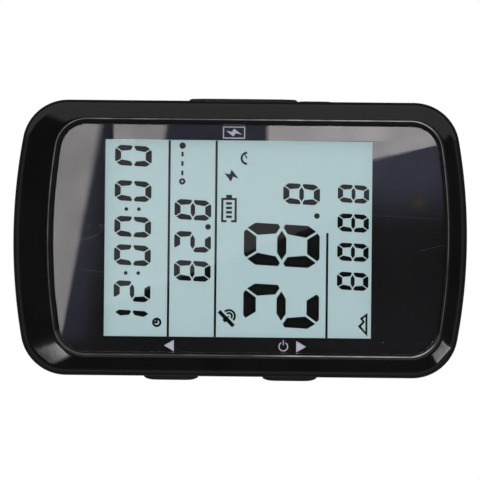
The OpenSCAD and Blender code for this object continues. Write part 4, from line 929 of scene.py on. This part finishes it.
def glass_finish(name, ior, marks):
    """Glass with a plain metal share and transmission. Hairlines and dust, scaled by marks,
    roughen it. A shadow ray sees a transparent shader instead."""
    material, tree, shader = new_material(name)
    hair = place(tree, HAIRLINES, Scale=75.0, Width=0.0035, Amount=0.55)["Mask"]
    specks = place(tree, DUST, Scale=420.0, Cover=0.16)["Mask"]
    rough = maths(tree, "MULTIPLY", maths(tree, "MAXIMUM", hair, specks), marks)
    feed(tree, shader, {
        "Base Color": WHITE, "Roughness": rough, "Transmission Weight": 1.0, "IOR": ior})
    clear = add_node(tree, "BsdfTransparent")
    show_mix(tree, add_node(tree, "LightPath").outputs["Is Shadow Ray"], shader, clear)
    return material


finishes["lens"] = glass_finish("lens glass", 1.5, 0.2)
finishes["display_glass"] = glass_finish("display glass", 1.2, 0.0)


def print_finish():
    """Black border print, seen through the lens. Dust and hairlines that lie on the lens above
    it are drawn here as faint pale marks, because the border is where they show."""
    material, tree, shader = new_material("black border print")
    ground = place(tree, TONE, Color=(0.0062, 0.0062, 0.0074, 1.0), Scale=40.0, Spread=0.3)["Color"]
    hair = place(tree, HAIRLINES, Scale=70.0, Width=0.003, Amount=0.5)["Mask"]
    specks = place(tree, DUST, Scale=900.0, Cover=0.12)["Mask"]
    colour = mixed(tree, maths(tree, "MULTIPLY", hair, 0.35), ground, (0.10, 0.10, 0.11, 1.0))
    colour = mixed(tree, maths(tree, "MULTIPLY", specks, 0.4), colour, (0.3, 0.3, 0.3, 1.0))
    feed(tree, shader, {"Base Color": colour, "Roughness": 0.4, "Specular IOR Level": 0.1})
    return material


finishes["black_print"] = print_finish()

# %% Give every piece its finish
slots = {row["node"]: row["material_slot"] for row in frame["record"]["subparts"]}
for node, slot_name in slots.items():
    mesh = nodes[node].data
    mesh.materials.clear()
    mesh.materials.append(finishes[slot_name])
    mesh.polygons.foreach_set("material_index", np.zeros(len(mesh.polygons), dtype=np.int32))
for piece, slot_name in [
        (top_shell, "bezel"), (rear_shell, "back"), (lens_pane, "lens"), (front_pane, "display_glass"),
        (port_plate, "rubber"), (port_strap, "rubber"),
        *[(bpy.data.objects[node + "_cap"], "rubber") for node in KEY_YS]]:
    piece.data.materials.append(finishes[slot_name])
print("finishes:", len(finishes), "for", len(slots), "solids")

# %% [markdown]
# ## Floor, world and lamp
# The ground is a plain pale floor. To the camera both floor and world are white, and rough
# surfaces are lit by a plain level from all sides. What the glossy surfaces mirror is a dim
# room, so that black plastic stays black, as it does in the photograph.

# %% Floor
MIRRORED_FLOOR = 0.07
floor_mesh = bpy.data.meshes.new("floor")
floor_mesh.from_pydata([(-3, -3, 0), (3, -3, 0), (3, 3, 0), (-3, 3, 0)], [], [(0, 1, 2, 3)])
floor = add_object("floor", floor_mesh)
floor.location.z = -0.0001
floor_look, tree, shader = new_material("pale floor")
feed(tree, shader, {
    "Base Color": (0.9, 0.9, 0.9, 1.0), "Roughness": 0.9, "Specular IOR Level": 0.0})
rays = add_node(tree, "LightPath").outputs
mirrored = maths(tree, "MAXIMUM", rays["Is Glossy Ray"], rays["Is Transmission Ray"])
seen = maths(tree, "MAXIMUM", rays["Is Camera Ray"], mirrored)
white = add_node(tree, "Emission", {
    "Color": WHITE, "Strength": maths(tree, "MAXIMUM", rays["Is Camera Ray"], MIRRORED_FLOOR)})
show_mix(tree, seen, shader, white)
floor_mesh.materials.append(floor_look)

# %% World
PLAIN_LEVEL, ROOM_LOW, ROOM_HIGH = 1.0, 0.12, 0.3
OVERHEAD_LEVEL, SIDE_LEVEL = 0.07, 0.55
world = bpy.data.worlds.new("studio")
bpy.context.scene.world = world
world.use_nodes = True
tree = world.node_tree
way = add_node(tree, "SeparateXYZ", {0: add_node(tree, "TexCoord").outputs["Generated"]}).outputs
room = ramp(tree, way[2], 0.1, 0.3, ROOM_LOW, ROOM_HIGH)
overhead = ramp(tree, way[2], 0.4, 0.85, 1.0, OVERHEAD_LEVEL)
side_panel = ramp(tree, way[0], 0.2, 0.26, 0.0, SIDE_LEVEL)
mirrored = maths(tree, "MAXIMUM", maths(tree, "MULTIPLY", room, overhead), maths(
    tree, "MULTIPLY", side_panel, ramp(tree, way[2], -0.1, 0.05)))
rays = add_node(tree, "LightPath").outputs
lighting = maths(tree, "GREATER_THAN", rays["Diffuse Depth"], 0.5)
level = plus(tree, mirrored, lighting, maths(tree, "SUBTRACT", PLAIN_LEVEL, mirrored))
feed(tree, tree.nodes["Background"], {
    "Color": WHITE, "Strength": maths(tree, "MAXIMUM", level, rays["Is Camera Ray"])})

# %% Lamp, which doesn't show in reflections
LAMP_AT, LAMP_AIM = Vector((0.35, 0.3, 0.7)), Vector((0.0, 0.0, 0.01))
LAMP_SIZE, LAMP_POWER = 0.5, 1.5
lamp_data = bpy.data.lights.new("key lamp", "AREA")
lamp_data.size = LAMP_SIZE
lamp_data.energy = LAMP_POWER
lamp = add_object("key lamp", lamp_data)
lamp.location = LAMP_AT
lamp.rotation_euler = (LAMP_AIM - LAMP_AT).to_track_quat("-Z", "Y").to_euler()
lamp.visible_glossy = False

# %% [markdown]
# ## Panels that the glass mirrors
# The real lens mirrors bright windows overhead, and the glossy corners mirror two more. Each
# becomes a small panel that only reflections see. A point of the picture is sent out of the
# camera as a ray, mirrored where it meets the lens or the case, and followed to the panel's
# height, or by its distance. A grid of such points between four places of the picture is one
# panel.

# %% Helpers for panels
GRID = 9
CLOUD_SCALE, CLOUD_DARK, CLOUD_BRIGHT = 90.0, 0.85, 1.1


def mirror_on_lens(px, py, reach):
    """Point at height reach over the flat lens that it mirrors at a pixel: the ray's upward part
    is flipped."""
    start, ray = sight_line(px, py)
    hit = start + ray * ((LENS_TOP * MM - start.z) / ray.z)
    out = Vector((ray.x, ray.y, -ray.z))
    return hit + out * (reach / out.z)


def mirror_on_case(px, py, reach):
    """Point that the top shell mirrors at a pixel. The normal is interpolated in the face hit,
    from the same corner normals that the render shades with."""
    start, ray = sight_line(px, py)
    _, hit, _, index = top_shell.ray_cast(start, ray)
    mesh = top_shell.data
    face = mesh.polygons[index]
    shares = poly_3d_calc([mesh.vertices[i].co for i in face.vertices], hit)
    weighted = zip(face.loop_indices, shares)
    normal = sum((mesh.corner_normals[i].vector * t for i, t in weighted), Vector())
    out = ray.reflect(normal.normalized())
    return hit + out * reach


def panel_look(name, strength, colour, soft):
    """Light of a panel, uneven like a room, clear towards its four edges. Soft is the share of
    the width that each edge fades over, in the order left, right, first, last."""
    material, tree, shader = new_material(name)
    tree.nodes.remove(shader)
    place_at = add_node(tree, "TexCoord").outputs
    across = add_node(tree, "SeparateXYZ", {0: place_at["UV"]}).outputs
    cloud = noise_at(tree, place_at["Object"], CLOUD_SCALE, 5.0)
    light = ramp(tree, cloud, *NOISE_SPAN, CLOUD_DARK * strength, CLOUD_BRIGHT * strength)
    cover = 1.0
    for axis, low, high in ((0, soft[0], soft[1]), (1, soft[2], soft[3])):
        if low:
            cover = maths(tree, "MULTIPLY", cover, ramp(tree, across[axis], 0.0, low))
        if high:
            cover = maths(tree, "MULTIPLY", cover, ramp(tree, across[axis], 1.0 - high, 1.0, 1.0, 0.0))
    glow = add_node(tree, "Emission", {"Color": (*colour, 1.0), "Strength": light})
    show_mix(tree, cover, add_node(tree, "BsdfTransparent"), glow)
    return material


def make_panel(name, pixels, strength, colour, soft, reach, mirror):
    """Panel seen by reflections alone: a grid between four pixels, each of its points mirrored.
    A panel with less reach lies in front of one with more."""
    low_left, low_right, high_right, high_left = (np.array(pixel, dtype=float) for pixel in pixels)
    shares = np.linspace(0.0, 1.0, GRID)
    v, u = (table.ravel()[:, None] for table in np.meshgrid(shares, shares, indexing="ij"))
    low, high = low_left * (1 - u) + low_right * u, high_left * (1 - u) + high_right * u
    places = low * (1 - v) + high * v
    i = (np.arange(GRID - 1)[:, None] * GRID + np.arange(GRID - 1)).ravel()
    faces = np.stack([i, i + 1, i + GRID + 1, i + GRID], axis=1)
    mesh = bpy.data.meshes.new(name)
    mesh.from_pydata([mirror(px, py, reach) for px, py in places.tolist()], [], faces.tolist())
    layer = mesh.uv_layers.new(name="UVMap")
    layer.data.foreach_set("uv", np.concatenate([u, v], axis=1)[faces.ravel()].ravel())
    mesh.materials.append(panel_look(name, strength, colour, soft))
    made = add_object(name, mesh)
    for ray in ("camera", "diffuse", "transmission", "volume_scatter", "shadow"):
        setattr(made, "visible_" + ray, False)


# %% Panels over the lens, then the two over the corners of the case
PALE, BLUE, WARM, AMBER = (1.0, 0.95, 0.97), (0.6, 0.64, 1.0), (1.0, 0.96, 0.93), (1.0, 0.8, 0.6)
HARD = (0, 0, 0, 0)
LENS_PANELS = [
    ("window left", [(44, 118), (108, 118), (60, 352), (44, 352)], 5.0, PALE, (0, 0.2, 0, 0.12), 0.5),
    ("blue left", [(50, 118), (132, 118), (96, 350), (50, 350)], 0.55, BLUE, (0, 0.5, 0, 0.1), 0.52),
    ("window top left", [(112, 118), (172, 118), (168, 140), (112, 140)], 5.4, PALE,
     (0.06, 0.15, 0, 0), 0.49),
    ("blue top", [(160, 118), (270, 118), (270, 140), (160, 140)], 0.65, BLUE, HARD, 0.54),
    ("window top right", [(264, 118), (456, 118), (456, 141), (264, 141)], 7.4, PALE,
     (0.04, 0, 0, 0), 0.49),
    ("window right", [(372.5, 140.5), (456, 140.5), (456, 141), (372.5, 163)], 6.4, PALE,
     (0, 0, 0, 0.3), 0.5),
    ("blue right", [(372.5, 150), (456, 140), (456, 235), (372.5, 235)], 1.0, BLUE,
     (0, 0, 0.02, 0.75), 0.52),
    ("dim over display", [(104, 141), (372, 141), (372, 205), (104, 308)], 0.75, PALE,
     (0, 0, 0, 0.02), 0.5),
    ("warm spot", [(408, 192), (431, 192), (431, 213), (408, 213)], 0.7, AMBER,
     (0.5, 0.5, 0.5, 0.5), 0.51),
]
CASE_PANELS = [
    ("corner low left", [(47, 346.5), (60, 362.5), (68.5, 355.5), (56, 343)], 6.5, WARM, HARD, 0.5),
    ("corner low right", [(443, 344), (451, 347.8), (437.5, 363), (432, 356)], 6.0, WARM, HARD, 0.5),
]
bpy.context.view_layer.update()
for panels, mirror in ((LENS_PANELS, mirror_on_lens), (CASE_PANELS, mirror_on_case)):
    for panel in panels:
        make_panel(*panel, mirror)
print("panels:", len(LENS_PANELS) + len(CASE_PANELS))

# %% [markdown]
# ## Finish
# The view transform is Standard, so that a colour shows about as it is written.

# %% View transform and the end
bpy.context.scene.view_settings.view_transform = "Standard"
bpy.context.view_layer.update()
